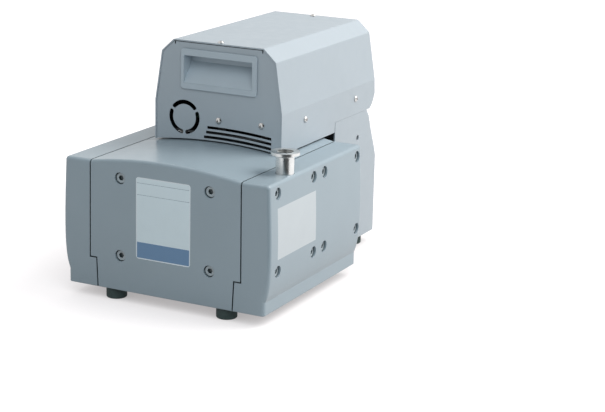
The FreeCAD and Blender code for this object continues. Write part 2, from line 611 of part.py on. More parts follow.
def pump_head():
    """Head plate for a stage at the origin, on the +x side."""
    plate = box((HEAD_X, COVER_X), (-HEAD_LENGTH / 2, HEAD_LENGTH / 2), (-HEAD_HEIGHT / 2, HEAD_HEIGHT / 2))
    plate = rounded_edges(plate, HEAD_ROUND, lambda p: abs(p.x - (HEAD_X + COVER_X) / 2) < 0.01)
    end = HEAD_X + CHAMBER_DEPTH
    chamber = profile_ring([(HEAD_X, 0), (HEAD_X, BORE_R + 1.5), (end - 2.5, DISC_R + 5.5),
                            (end, DISC_R - 1.0), (end, 0)], Vector(0, 0, 0), X_AXIS)
    plate = plate.cut(chamber)
    for s in (-1, 1):
        z = s * VALVE_PITCH / 2
        plate = plate.cut(cyl_x(0.0, z, VALVE_R / 2, HEAD_X, COVER_X + 1))
        plate = plate.cut(cyl_x(0.0, z, VALVE_R + 0.1, COVER_X - VALVE_THICK, COVER_X + 1))
    for dy in (-HEAD_SCREW_Y, HEAD_SCREW_Y):
        for dz in (-HEAD_SCREW_Z, HEAD_SCREW_Z):
            plate = plate.cut(cyl_x(dy, dz, SHANK_R + SHANK_ROOM, HEAD_X - 1, COVER_X + 1))
    return plate


valves = []
for side_name, side in SIDES.items():
    for stage_name, index in STAGES.items():
        head = pump_head()
        discs = [cyl_x(0.0, s * VALVE_PITCH / 2, VALVE_R, COVER_X - VALVE_THICK, COVER_X) for s in (-1, 1)]
        for shape in [head] + discs:
            if side < 0:
                shape.rotate(Vector(0, 0, 0), Vector(0, 0, 1), 180)
            shape.translate(Vector(0, STAGE_Y[index], SHAFT_Z))
        add(f"pump_head_{stage_name}_{side_name}", head)
        valves += discs
add("valve_discs", Part.makeCompound(valves))

# Head covers: one casting along each side, finned outside, with a gas gallery above
# and one below that join the valve pockets of both stages
half = HEAD_HEIGHT / 2
front_face = STAGE_Y[0] - HEAD_LENGTH / 2
rear_face = STAGE_Y[1] + HEAD_LENGTH / 2
cover = box((COVER_X, HEAD_OUT), (front_face, rear_face), (SHAFT_Z - half, SHAFT_Z + half))
cover = rounded_edges(cover, HEAD_ROUND, lambda p: abs(p.x - (COVER_X + HEAD_OUT) / 2) < 0.01)
for dz in (-VALVE_PITCH / 2, VALVE_PITCH / 2):
    cover = cover.cut(cyl_y(COVER_X + 7.0, SHAFT_Z + dz, GALLERY_R,
                            STAGE_Y[0] - GALLERY_R, STAGE_Y[1] + GALLERY_R))
    for stage in STAGE_Y:
        cover = cover.cut(cyl_x(stage, SHAFT_Z + dz, VALVE_R - 1.5, COVER_X - 1, COVER_X + 7.0))
for stage in STAGE_Y:
    for k in range(-4, 5):
        groove = (stage + FIN_PITCH * k - FIN_GROOVE / 2, stage + FIN_PITCH * k + FIN_GROOVE / 2)
        cover = cover.cut(box((HEAD_OUT - FIN_DEPTH, HEAD_OUT + 1), groove, (0.0, SHAFT_Z - 22.0)))
        cover = cover.cut(box((HEAD_OUT - FIN_DEPTH, HEAD_OUT + 1), groove, (SHAFT_Z + 24.0, FAR)))
for y, z in SIDE_SCREWS:
    cover = cover.cut(cyl_x(y, z, SHANK_R, COVER_X - 1, HEAD_OUT + 1))
right_head_cover = cover.cut(cyl_x(INLET[1], PORT_Z, STUB_R, COVER_X + 7.0, HEAD_OUT + 1))
rear_bore = cyl_y(REAR_PORT_X, REAR_PORT_Z, GALLERY_R, STAGE_Y[1], rear_face + 1)
add("right_head_cover", right_head_cover.cut(rear_bore))
add("left_head_cover", mirrored(cover.cut(rear_bore)))

# Inlet: small vacuum flange on a tube that turns in to the head cover
(ix, iy) = INLET
flange = profile_ring([
    (PORT_Z - 9.0, 0.0), (PORT_Z - 9.0, TUBE_R), (INLET_TOP - 5.0, TUBE_R), (INLET_TOP - 4.2, TUBE_R + 1.5),
    (INLET_TOP - 3.0, FLANGE_R), (INLET_TOP, FLANGE_R), (INLET_TOP, TUBE_BORE_R + 0.6),
    (INLET_TOP - 1.8, TUBE_BORE_R + 0.6), (INLET_TOP - 1.8, TUBE_BORE_R), (PORT_Z - 5.0, TUBE_BORE_R),
    (PORT_Z - 5.0, 0.0)], Vector(ix, iy, 0), Vector(0, 0, 1))
stub = cyl_x(iy, PORT_Z, STUB_R, HEAD_OUT - 5.0, ix)
flange = flange.fuse(stub.cut(cyl_z(ix, iy, TUBE_R - 1.0, 0.0, FAR)))
add("inlet_flange", flange.cut(cyl_x(iy, PORT_Z, GALLERY_R, HEAD_OUT - 6.0, ix)).removeSplitter())

# Outlet hose nozzle at the rear of the left side, gas ballast valve at the right
link_y = (rear_face, rear_face + LINK_THICK)
link_z = (REAR_PORT_Z - 7.0, REAR_PORT_Z + 7.0)
nx = -REAR_PORT_X - REAR_PORT_SHIFT
bend = union([
    cyl_y(-REAR_PORT_X, REAR_PORT_Z, GALLERY_R, rear_face - 8.0, rear_face),
    box((-REAR_PORT_X + 6.0, nx - 6.0), link_y, link_z),
    cyl_y(nx, REAR_PORT_Z, 8.0, rear_face + LINK_THICK - 1.0, PUMP_LENGTH + 4.0),
    cyl_y(nx, REAR_PORT_Z, NOZZLE_R, PUMP_LENGTH + 3.0, PUMP_LENGTH + 24.0),
])
bend = bend.cut(cyl_y(nx, REAR_PORT_Z, 3.2, rear_face + 1.0, PUMP_LENGTH + 25.0))
bend = bend.cut(box((-REAR_PORT_X - 1.5, nx), (rear_face + 1.0, rear_face + LINK_THICK - 1.0),
                    (REAR_PORT_Z - 3, REAR_PORT_Z + 3)))
add("exhaust_nozzle", bend.cut(cyl_y(-REAR_PORT_X, REAR_PORT_Z, 2.5, rear_face - 9.0, rear_face + 2.0)))
gx = REAR_PORT_X + REAR_PORT_SHIFT
valve = union([
    cyl_y(REAR_PORT_X, REAR_PORT_Z, GALLERY_R, rear_face - 8.0, rear_face),
    box((REAR_PORT_X - 6.0, gx + 6.0), link_y, link_z),
    cyl_y(gx, REAR_PORT_Z, 8.0, rear_face + LINK_THICK - 1.0, PUMP_LENGTH + 1.0),
    cyl_y(gx, REAR_PORT_Z, SPINDLE_R, PUMP_LENGTH, PUMP_LENGTH + 12.0),
])
add("gas_ballast_valve", valve)
knob = profile_ring([(1.4, 0.0), (1.4, KNOB_R - 1.0), (2.4, KNOB_R), (14.0, KNOB_R), (15.0, KNOB_R - 1.0),
                     (15.0, 0.0)], Vector(gx, PUMP_LENGTH, REAR_PORT_Z), Vector(0, 1, 0))
flute_reach = KNOB_R + 1.5
for k in range(8):
    turn = math.radians(45 * k + 20)
    flute_x = gx + flute_reach * math.cos(turn)
    flute_z = REAR_PORT_Z + flute_reach * math.sin(turn)
    knob = knob.cut(cyl_y(flute_x, flute_z, 3.0, PUMP_LENGTH + 4.0, PUMP_LENGTH + 16.0))
knob = knob.cut(cyl_y(gx, REAR_PORT_Z, SPINDLE_R + FIT, PUMP_LENGTH, PUMP_LENGTH + 12.5))
add("gas_ballast_knob", knob)

# Cross pipe under the crankcase from the left head cover to the right one
pipe_z = CASE_LOW - PIPE_R - 3.0
pipe_end = (COVER_X + HEAD_OUT) / 2
pipe = [cyl_x(STAGE_MIDDLE, pipe_z, PIPE_R, -pipe_end, pipe_end)]
for s in (-1, 1):
    pipe.append(cyl_z(s * pipe_end, STAGE_MIDDLE, PIPE_R, pipe_z - PIPE_R, SHAFT_Z - half))
pipe_channel = box((-CASE_X, CASE_X), (STAGE_MIDDLE - PIPE_R - 2.0, STAGE_MIDDLE + PIPE_R + 2.0),
                   (pipe_z - PIPE_R - 2.0, CASE_LOW))
NODES["crankcase"] = NODES["crankcase"].cut(pipe_channel)
add("cross_pipe", union(pipe))

# Motor: flanged housing with ribs, stator, rotor on the pump shaft, and end bell
housing = cyl_y(0.0, SHAFT_Z, MOTOR_R, CASE_BACK, MOTOR_END)
housing = housing.cut(cyl_y(0.0, SHAFT_Z, MOTOR_R - MOTOR_WALL, CASE_BACK + 6.0, MOTOR_END + 1))
housing = housing.cut(cyl_y(0.0, SHAFT_Z, SHAFT_R + 3.0, CASE_BACK - 1, MOTOR_END))
for k in range(12):
    groove = box((-2.5, 2.5), (CASE_BACK + 14.0, MOTOR_END - 6.0), (MOTOR_R - 1.8, MOTOR_R + 2.0))
    groove.rotate(Vector(0, 0, 0), Vector(0, 1, 0), 30 * k + 15)
    groove.translate(Vector(0, 0, SHAFT_Z))
    housing = housing.cut(groove)
motor_feet = [box((s * 26.0, s * 40.0), (CASE_BACK + 40.0, MOTOR_END - 10.0),
                  (PLATE_TOP, SHAFT_Z - MOTOR_R + 17.0)) for s in (-1, 1)]
motor_feet = Part.makeCompound(motor_feet).cut(cyl_y(0.0, SHAFT_Z, MOTOR_R - 2.0, 0.0, FAR))
add("motor_housing", union([housing] + motor_feet.Solids))
stator = cyl_y(0.0, SHAFT_Z, MOTOR_R - MOTOR_WALL, STATOR[0], STATOR[1])
add("motor_stator", stator.cut(cyl_y(0.0, SHAFT_Z, STATOR_IN, 0.0, FAR)))
rotor = union([cyl_y(0.0, SHAFT_Z, ROTOR_R, ROTOR[0], ROTOR[1]),
               cyl_y(0.0, SHAFT_Z, ROTOR_R - 7.4, ROTOR[0] - 6.0, ROTOR[1] + 6.0)])
add("motor_rotor", rotor.cut(cyl_y(0.0, SHAFT_Z, SHAFT_R, 0.0, FAR)))
bell = union([cyl_y(0.0, SHAFT_Z, MOTOR_R, MOTOR_END, MOTOR_END + BELL_THICK),
              cyl_y(0.0, SHAFT_Z, MOTOR_R - MOTOR_WALL - 0.05, MOTOR_END - 5.0, MOTOR_END)])
bell_back = MOTOR_END + BELL_THICK
bell = bell.cut(cyl_y(0.0, SHAFT_Z, BEARING_R, bell_back - BEARING_WIDTH, bell_back + 1))
add("motor_end_bell", bell.cut(cyl_y(0.0, SHAFT_Z, SHAFT_R + 3.0, 0.0, FAR)))

# Cooling fan with pitched blades on the end of the shaft
fan_middle = (FAN[0] + FAN[1]) / 2
fan = [cyl_y(0.0, SHAFT_Z, SHAFT_R + 7.5, FAN[0], FAN[1])]
for k in range(FAN_BLADES):
    blade = box((-1.0, 1.0), (-9.0, 9.0), (SHAFT_R + 5.5, FAN_R))
    blade.rotate(Vector(0, 0, 0), Vector(0, 0, 1), 40)
    blade.rotate(Vector(0, 0, 0), Vector(0, 1, 0), 360.0 * k / FAN_BLADES)
    blade.translate(Vector(0, fan_middle, SHAFT_Z))
    fan.append(blade)
fan = union(fan).common(cyl_y(0.0, SHAFT_Z, FAN_R, FAN[0], FAN[1]))
add("cooling_fan", fan.cut(cyl_y(0.0, SHAFT_Z, SHAFT_R, 0.0, FAR)))

# Hood over the motor, open to the front and below, with an air grille at the back
hood_side = [(HOOD_FRONT, HOOD_LOW), (DEPTH, HOOD_LOW), *HOOD_SLOPE,
             (HOOD_TOP_END, HOOD_TOP), (HOOD_FRONT, HOOD_TOP)]
hood = side_prism(hood_side, -HOOD_HALF, HOOD_HALF)
hood = rounded_edges(hood, HOOD_ROUND, lambda p: abs(p.x) > HOOD_HALF - 0.01
                     and p.y > HOOD_TOP_END and p.z > HOOD_LOW + 1)
inner_slope = [(y - HOOD_WALL, z - HOOD_WALL / 2) for y, z in HOOD_SLOPE]
inner_side = [(HOOD_FRONT - 1, HOOD_LOW - 1), (DEPTH - HOOD_WALL, HOOD_LOW - 1), *inner_slope,
              (HOOD_TOP_END - HOOD_WALL / 2, HOOD_TOP - HOOD_WALL), (HOOD_FRONT - 1, HOOD_TOP - HOOD_WALL)]
hood = hood.cut(side_prism(inner_side, HOOD_WALL - HOOD_HALF, HOOD_HALF - HOOD_WALL))
for s in (-1, 1):
    inside = s * (HOOD_HALF - HOOD_WALL - 1)
    hood = hood.cut(cyl_x(DEPTH - 53.0, HOOD_TOP - 28.8, HOOD_HOLE_R, inside, s * FAR))
grille_back = (DEPTH - HOOD_WALL - 5.0, DEPTH + 1.0)
hood = hood.cut(box((4 - GRILLE_HALF, GRILLE_HALF - 4), grille_back, (GRILLE_Z[0] + 4, GRILLE_Z[1] - 4)))
add("rear_hood", hood)
grille = box((-GRILLE_HALF, GRILLE_HALF), (DEPTH - HOOD_WALL - 2.0, DEPTH - HOOD_WALL), GRILLE_Z)
slots = []
slot_pitch = (GRILLE_Z[1] - GRILLE_Z[0] - 16.0) / 8
for k in range(9):
    z = GRILLE_Z[0] + 8.0 + slot_pitch * k
    for s in (-1, 1):
        slots.append(box((s * 2.0, s * (GRILLE_HALF - 6.0)), grille_back, (z - 2.0, z + 2.0)))
add("fan_grille", grille.cut(Part.makeCompound(slots)))

# Electronics housing: folded sheet cover


def housing_prism(inset, y0, y1, low):
    """The housing's cross-section shrunk by an inset and cut off level below."""
    (x1, z1), (x2, z2), (x3, z3), (x4, z4) = HOUSING_SECTION
    half = [(x1 - inset * 0.4, z1 - inset), (x2 - inset * 0.95, z2 - inset * 0.4),
            (x3 - inset, z3), (x4 - inset, low)]
    block = front_prism(half + [(-x, z) for x, z in reversed(half)], y0, y1)

    def fold(p):
        return abs(p.y - (y0 + y1) / 2) < 0.01 and p.z > z2 - inset - 1

    return rounded_edges(block, FOLD_R - inset, fold)


side_view = side_prism(HOUSING_SIDE, -FAR, FAR)
cover = housing_prism(0.0, HOUSING_FRONT, DEPTH, CASING_TOP).cut(housing_prism(SHEET, 0.0, FAR, 0.0))
cover = cover.common(side_view)
for y, z in SIDE_FIXINGS:
    for s in (-1, 1):
        cover = cover.cut(cyl_x(y, z, FIXING_R, s * (HOOD_HALF - 7.0), s * FAR))
for y in TOP_FIXINGS:
    cover = cover.cut(cyl_z(0.0, y, FIXING_R, HOUSING_TOP - 7.0, FAR))
add("housing_cover", cover)

# Front panel: arched lower edge, ring vent, louvres and the handle opening
through_panel = (PANEL_FRONT - 1.0, PANEL_BACK + 1.0)
UNDER_TOP = HOUSING_TOP - SHEET - 0.9
panel = housing_prism(SHEET + 0.25, PANEL_FRONT, PANEL_BACK, CASING_TOP - 8.0)
panel = panel.cut(cyl_y(0.0, DOME_CENTRE, DOME_R + 1.6, *through_panel))
panel = panel.cut(box((-HOOD_HALF, HOOD_HALF), through_panel, (UNDER_TOP, FAR)))
for middle in (90.0, 210.0, 330.0):
    reach = (120.0 - RING_GAP) / 2
    slot = arc_slot(*RING_VENT, RING_R, RING_SLOT, middle - reach, middle + reach, *through_panel)
    panel = panel.cut(slot)
for peak, left in zip(LOUVRE_PEAKS, LOUVRE_LEFT):
    reach = DOME_R + peak - CASING_TOP - DOME_RISE
    band = cyl_y(0.0, DOME_CENTRE, reach + LOUVRE_WIDTH / 2, *through_panel)
    band = band.cut(cyl_y(0.0, DOME_CENTRE, reach - LOUVRE_WIDTH / 2, *through_panel))
    panel = panel.cut(band.common(box((left, LOUVRE_RIGHT), through_panel, (CASING_TOP - 8.0, FAR))))
(gx0, gx1), (gz0, gz1) = GRIP_MOUTH
grip_top = gz1 + 3.0
panel = panel.cut(box((gx0 - GRIP_WALL, gx1 + GRIP_WALL), through_panel,
                      (gz0 - GRIP_WALL, grip_top + GRIP_WALL)))
for x, z in PANEL_SCREWS:
    panel = panel.cut(cyl_y(x, z, FIXING_R, *through_panel))
relief_x = HOUSING_SECTION[0][0] - SHEET
for s in (-1, 1):
    relief = (s * relief_x - RELIEF[0], s * relief_x + RELIEF[0])
    panel = panel.cut(box(relief, through_panel, (UNDER_TOP - RELIEF[1], FAR)))
tab = box((-20.0, 20.0), (PANEL_FRONT, HOUSING_FRONT + 12.0), (UNDER_TOP - SHEET, UNDER_TOP))
panel = panel.fuse(tab.cut(cyl_z(0.0, TOP_FIXINGS[0], TAPPED_R, HOUSING_TOP - 10.0, FAR)))
add("front_panel", panel.removeSplitter())

# Recessed handle: a rim on the panel and a pocket that rises behind its upper edge
(rx0, rx1), (rz0, rz1) = GRIP_RIM
rim_front = PANEL_FRONT - GRIP_RAISE
rim_back = rim_front + GRIP_RIM_THICK
rim = rounded_edges(box((rx0, rx1), (rim_front, rim_back), (rz0, rz1)), 3.3,
                    lambda p: abs(p.y - (rim_front + rim_back) / 2) < 0.01)
rim = rounded_edges(rim, 0.6, lambda p: p.y < rim_front + 0.01)
rim = rim.fuse(box((rx0 + GRIP_NECK, rx1 - GRIP_NECK), (rim_back - 0.1, PANEL_FRONT),
                   (rz0 + GRIP_NECK, rz1 - GRIP_NECK)))
back = PANEL_FRONT + GRIP_DEEP
outer = [(PANEL_FRONT - 0.5, gz0 - GRIP_WALL + 0.1), (PANEL_BACK + 1, gz0 - GRIP_WALL + 0.1),
         (back + GRIP_WALL, gz1 - 10.5), (back + GRIP_WALL, grip_top + GRIP_WALL - 0.1),
         (PANEL_FRONT - 0.5, grip_top + GRIP_WALL - 0.1)]
pocket = [(rim_front - 1, gz0 - 0.8), (rim_front + 1.2, gz0 + 0.8), (back, gz1 - 8.5), (back, grip_top),
          (PANEL_BACK + 1.0, grip_top), (PANEL_BACK + 1.0, gz1), (rim_front - 1, gz1)]
grip = rim.fuse(side_prism(outer, gx0 - GRIP_WALL + 0.1, gx1 + GRIP_WALL - 0.1))
grip = grip.cut(side_prism(pocket, gx0, gx1))
for corner, middle in ((gx0, gx0 + GRIP_CORNER), (gx1, gx1 - GRIP_CORNER)):
    filler = box((corner, middle), (rim_front + 0.3, PANEL_BACK + 1.0), (gz1 - GRIP_CORNER, gz1))
    grip = grip.fuse(filler.cut(cyl_y(middle, gz1 - GRIP_CORNER, GRIP_CORNER, rim_front, PANEL_BACK + 2.0)))
add("handle_shell", grip.removeSplitter())

# Tray that closes the housing below, standing on the hood, with posts for the board
FLOOR_TOP = FLOOR_Z + 2.0
INSIDE = HOUSING_SECTION[3][0] - SHEET - 0.1
BOARD_HALF = 60.0
BOARD_Y = (PANEL_BACK + 28.5, REAR_PANEL_Y - 26.0)
BOARD_Z = FLOOR_TOP + 8.0
floor = [box((-INSIDE, INSIDE), (PANEL_BACK, REAR_PANEL_Y), (FLOOR_Z, FLOOR_TOP))]
for s in (-1, 1):
    wall = (s * (INSIDE - SHEET), s * INSIDE)
    floor.append(box(wall, (PANEL_BACK + 8.0, REAR_PANEL_Y), (FLOOR_Z, FLOOR_Z + 26.8)))
    floor.append(box(wall, (PANEL_BACK, HOOD_FRONT - 4.0), (COVER_LOW + 1.9, FLOOR_TOP)))
    for y in (BOARD_Y[0] + 10.0, BOARD_Y[1] - 10.0):
        floor.append(cyl_z(s * (BOARD_HALF - 10.0), y, 4.0, FLOOR_TOP - 1.0, BOARD_Z))
for x, z in PANEL_SCREWS:
    floor.append(box((x - 5.0, x + 5.0), (PANEL_BACK, PANEL_BACK + 8.0), (z - 4.0, z + 5.0)))
    floor.append(box((x - 5.0, x + 5.0), (PANEL_BACK + 6.0, PANEL_BACK + 8.0), (FLOOR_TOP - 1.0, z + 5.0)))
floor = union(floor)
for y, z in SIDE_FIXINGS:
    for s in (-1, 1):
        floor = floor.cut(cyl_x(y, z, FIXING_R - 0.1, s * (INSIDE - 10.0), s * FAR))
for x, z in PANEL_SCREWS:
    floor = floor.cut(cyl_y(x, z, FIXING_R - 0.1, PANEL_BACK - 1.0, PANEL_BACK + 15.0))
add("housing_tray", floor)

# Rear panel, set in from the end of the cover
SOCKETS_Z = FLOOR_Z + 32.8
MAINS = (-36.0, SOCKETS_Z)
SWITCH = (-2.0, SOCKETS_Z)
SOCKET = (36.0, SOCKETS_Z)
SOCKET_R = 8.0
MAINS_HALF = (13.5, 9.9)
SWITCH_HALF = (9.5, 12.9)
INSERT_ROOM = 0.1
through_rear = (REAR_PANEL_Y - 1.0, PANEL_OUT + 1.0)
rear_panel = housing_prism(SHEET + 0.1, REAR_PANEL_Y, PANEL_OUT, FLOOR_Z)
rear_tab = box((-20.0, 20.0), (REAR_PANEL_Y + 1.0, TOP_FIXINGS[1] + 5.0),
               (HOUSING_TOP - 2 * SHEET - 0.2, HOUSING_TOP - SHEET - 0.2))
rear_panel = rear_panel.fuse(rear_tab.cut(cyl_z(0.0, TOP_FIXINGS[1], TAPPED_R, HOUSING_TOP - 10.0, FAR)))
for (x, z), (half_width, half_height) in ((MAINS, MAINS_HALF), (SWITCH, SWITCH_HALF)):
    across = (x - half_width - INSERT_ROOM, x + half_width + INSERT_ROOM)
    upwards = (z - half_height - INSERT_ROOM, z + half_height + INSERT_ROOM)
    rear_panel = rear_panel.cut(box(across, through_rear, upwards))
rear_panel = rear_panel.cut(cyl_y(SOCKET[0], SOCKET[1], SOCKET_R, *through_rear))
vents = [box((12.0 * k - 3.0, 12.0 * k + 3.0), through_rear, (HOUSING_TOP - 40.9, HOUSING_TOP - 18.9))
         for k in range(-4, 5)]
add("rear_panel", rear_panel.cut(Part.makeCompound(vents)).removeSplitter())

# Mains inlet, rocker switch and the socket for the remote controller
(mx, mz) = MAINS


def insert_block(centre, half, grow, y0, y1):
    """Block behind or before the rear panel, larger than an insert's body by (x, z)."""
    (x, z), (half_x, half_z) = centre, (half[0] + grow[0], half[1] + grow[1])
    return box((x - half_x, x + half_x), (y0, y1), (z - half_z, z + half_z))


inlet = union([insert_block(MAINS, MAINS_HALF, (0.0, 0.0), PANEL_OUT - 20.0, PANEL_OUT),
               insert_block(MAINS, MAINS_HALF, (2.5, 2.1), PANEL_OUT, PANEL_OUT + 2.5)])
inlet = inlet.cut(insert_block(MAINS, MAINS_HALF, (-1.7, -2.0), PANEL_OUT - 14.0, PANEL_OUT + 5.0))
pins = []
for dx, dz in ((-7.0, -1.5), (0.0, 2.0), (7.0, -1.5)):
    pins.append(box((mx + dx - 1.0, mx + dx + 1.0), (PANEL_OUT - 15.0, PANEL_OUT - 4.0),
                    (mz + dz - 2.0, mz + dz + 2.0)))
add("mains_inlet", union([inlet] + pins))
(sx, sz) = SWITCH
frame = union([insert_block(SWITCH, SWITCH_HALF, (0.0, 0.0), PANEL_OUT - 16.0, PANEL_OUT),
               insert_block(SWITCH, SWITCH_HALF, (1.0, 2.1), PANEL_OUT, PANEL_OUT + 2.0)])
frame = frame.cut(insert_block(SWITCH, SWITCH_HALF, (-2.0, -1.3), PANEL_OUT - 12.0, PANEL_OUT + 5.0))
PIVOT_Y = PANEL_OUT - 4.0
PIVOT_R = 1.5
rocker_x = SWITCH_HALF[0] - 2.4
frame = frame.cut(cyl_x(PIVOT_Y, sz, PIVOT_R, sx - rocker_x - 1.7, sx + rocker_x + 1.7))
add("switch_frame", frame)
rocker_side = [(PANEL_OUT - 7.0, sz - 2.0), (PANEL_OUT + 1.0, sz - 10.2),
               (PANEL_OUT + 3.2, sz - 10.0), (PANEL_OUT + 1.4, sz), (PANEL_OUT + 3.2, sz + 10.0),
               (PANEL_OUT + 1.0, sz + 10.2), (PANEL_OUT - 7.0, sz + 2.0)]
rocker = side_prism(rocker_side, sx - rocker_x, sx + rocker_x)
rocker = rocker.fuse(cyl_x(PIVOT_Y, sz, PIVOT_R - 0.05, sx - rocker_x - 1.5, sx + rocker_x + 1.5))
rocker.rotate(Vector(sx, PIVOT_Y, sz), Vector(1, 0, 0), 9.0)
add("power_switch", rocker.removeSplitter())
(cx, cz) = SOCKET
socket = union([cyl_y(cx, cz, SOCKET_R - 0.1, PANEL_OUT - 10.0, PANEL_OUT),
                cyl_y(cx, cz, SOCKET_R + 2.0, PANEL_OUT, PANEL_OUT + 3.0)])
socket = socket.cut(cyl_y(cx, cz, SOCKET_R - 2.0, PANEL_OUT - 6.0, PANEL_OUT + 4.0))
socket_pins = [cyl_y(cx + dx, cz + dz, 0.7, PANEL_OUT - 7.0, PANEL_OUT - 2.5)
               for dx, dz in ((-2.5, -2), (2.5, -2), (0, 3))]
add("controller_socket", union([socket] + socket_pins))

# Power electronics: board on the tray's posts, heat sink and two capacitors
BOARD_TOP = BOARD_Z + 1.6
SINK_X = (10.0 - BOARD_HALF, BOARD_HALF - 65.0)
SINK_Y = (BOARD_Y[0] + 30.0, BOARD_Y[1] - 40.0)
SINK_FINS = 6
CAN_R = 15.0
add("inverter_board", box((-BOARD_HALF, BOARD_HALF), BOARD_Y, (BOARD_Z, BOARD_TOP)))
sink = [box(SINK_X, SINK_Y, (BOARD_TOP, BOARD_TOP + 4.4))]
fin_pitch = (SINK_X[1] - SINK_X[0] - 2.5) / (SINK_FINS - 1)
for k in range(SINK_FINS):
    fin_x = SINK_X[0] + fin_pitch * k
    sink.append(box((fin_x, fin_x + 2.5), SINK_Y, (BOARD_TOP, BOARD_TOP + 28.4)))
add("heat_sink", union(sink))
cans = [cyl_z(BOARD_HALF / 2, y, CAN_R, BOARD_TOP, BOARD_TOP + 44.4)
        for y in (SINK_Y[0] + CAN_R + 5.0, SINK_Y[0] + 3 * CAN_R + 13.0)]
add("capacitors", Part.makeCompound(cans))


def button_screw():
    """Button-head screw along -z, underside of its head at the origin."""
    head = profile_ring([(0.0, 0.0), (0.0, 3.5), (0.8, 3.4), (1.7, 2.4), (2.0, 1.2), (2.0, 0.0)],
                        Vector(0, 0, 0), Vector(0, 0, 1))
    corners = [Vector(1.5 * math.cos(math.radians(a)), 1.5 * math.sin(math.radians(a)), 0.9)
               for a in range(0, 360, 60)]
    return head.cut(prism(corners, Vector(0, 0, 2))).fuse(cyl_z(0.0, 0.0, 2.0, -5.0, 0.0)).removeSplitter()


# Bright screws of the housing: two in the front panel, two on top, two in each side
housing_screws = []
for x, z in PANEL_SCREWS:
    screw = button_screw()
    screw.rotate(Vector(0, 0, 0), Vector(1, 0, 0), 90)
    screw.translate(Vector(x, PANEL_FRONT, z))
    housing_screws.append(screw)
for y in TOP_FIXINGS:
    screw = button_screw().cut(cyl_z(0.0, 0.0, 5.0, -6.0, -1.6)).fuse(cyl_z(0.0, 0.0, 1.5, -5.0, -1.5))
    screw.translate(Vector(0.0, y, HOUSING_TOP))
    housing_screws.append(screw)
for y, z in SIDE_FIXINGS:
    screw = button_screw().cut(cyl_z(0.0, 0.0, 5.0, -6.0, -3.2))
    screw.rotate(Vector(0, 0, 0), Vector(0, 1, 0), 90)
    screw.translate(Vector(HOOD_HALF, y, z))
    housing_screws += [screw, mirrored(screw)]
add("housing_screws", Part.makeCompound(housing_screws))

for name, shape in NODES.items():
    shape.translate(Vector(0, -DEPTH / 2, 0))
    shape.exportStep(f"parts/{name}.step")
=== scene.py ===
import math

import bpy
from mathutils import Matrix, Vector


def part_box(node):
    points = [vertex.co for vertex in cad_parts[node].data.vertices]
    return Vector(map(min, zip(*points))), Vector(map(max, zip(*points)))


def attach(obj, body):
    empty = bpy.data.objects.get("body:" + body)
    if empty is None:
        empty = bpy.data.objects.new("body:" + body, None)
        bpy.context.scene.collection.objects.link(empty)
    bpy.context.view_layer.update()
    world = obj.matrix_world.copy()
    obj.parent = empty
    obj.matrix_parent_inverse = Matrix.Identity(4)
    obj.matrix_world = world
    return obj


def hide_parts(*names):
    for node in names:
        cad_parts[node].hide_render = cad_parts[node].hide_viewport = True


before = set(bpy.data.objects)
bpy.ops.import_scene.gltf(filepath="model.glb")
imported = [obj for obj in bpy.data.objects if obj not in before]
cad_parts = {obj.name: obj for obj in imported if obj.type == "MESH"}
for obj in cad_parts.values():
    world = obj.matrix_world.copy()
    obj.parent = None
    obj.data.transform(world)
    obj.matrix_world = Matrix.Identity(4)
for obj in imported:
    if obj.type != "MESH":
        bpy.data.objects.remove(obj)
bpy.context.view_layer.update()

# Base plate, crankcase and pump heads: die-cast aluminium, left as cast outside and
# milled where they meet. The heads are screwed to the crankcase, two on each side,
# and the motor's housing and end bell are castings of the same kind.
CAST_GREY = (0.47, 0.48, 0.49)
CAST_DULL = (0.36, 0.37, 0.38)
CASTINGS = ["base_plate", "crankcase", "bearing_cover", "left_head_cover", "right_head_cover",
            "motor_housing", "motor_end_bell"]
STAGES = [f"{stage}_{side}" for side in ("right", "left") for stage in ("front", "rear")]
SHADES_BEGIN = 0.35
SHADES_END = 0.65
GLOSS_BEGINS = 0.3
GLOSS_ENDS = 0.7


def begin_material(name, colour, roughness, metallic=0.0):
    """A new material with its shader's plain values set, and where its patterns are read."""
    material = bpy.data.materials.new(name)
    material.use_nodes = True
    nodes = material.node_tree.nodes
    shader = nodes["Principled BSDF"]
    shader.inputs["Base Color"].default_value = (*colour, 1.0)
    shader.inputs["Roughness"].default_value = roughness
    shader.inputs["Metallic"].default_value = metallic
    place = nodes.new("ShaderNodeTexCoord").outputs["Object"]
    return material, shader, place


def clouds(material, place, size, detail=3.0, stretch=(1.0, 1.0, 1.0)):
    """Soft random pattern whose patches are about so many metres across."""
    nodes, links = material.node_tree.nodes, material.node_tree.links
    mapping = nodes.new("ShaderNodeMapping")
    mapping.inputs["Scale"].default_value = stretch
    noise = nodes.new("ShaderNodeTexNoise")
    noise.inputs["Scale"].default_value = 1.0 / size
    noise.inputs["Detail"].default_value = detail
    links.new(place, mapping.inputs["Vector"])
    links.new(mapping.outputs["Vector"], noise.inputs["Vector"])
    return noise.outputs["Fac"]


def tint(material, shader, pattern, dark, light):
    """The pattern moves the colour between two near shades."""
    nodes, links = material.node_tree.nodes, material.node_tree.links
    ramp = nodes.new("ShaderNodeValToRGB")
    ramp.color_ramp.elements[0].position = SHADES_BEGIN
    ramp.color_ramp.elements[0].color = (*dark, 1.0)
    ramp.color_ramp.elements[1].position = SHADES_END
    ramp.color_ramp.elements[1].color = (*light, 1.0)
    links.new(pattern, ramp.inputs["Fac"])
    links.new(ramp.outputs["Color"], shader.inputs["Base Color"])


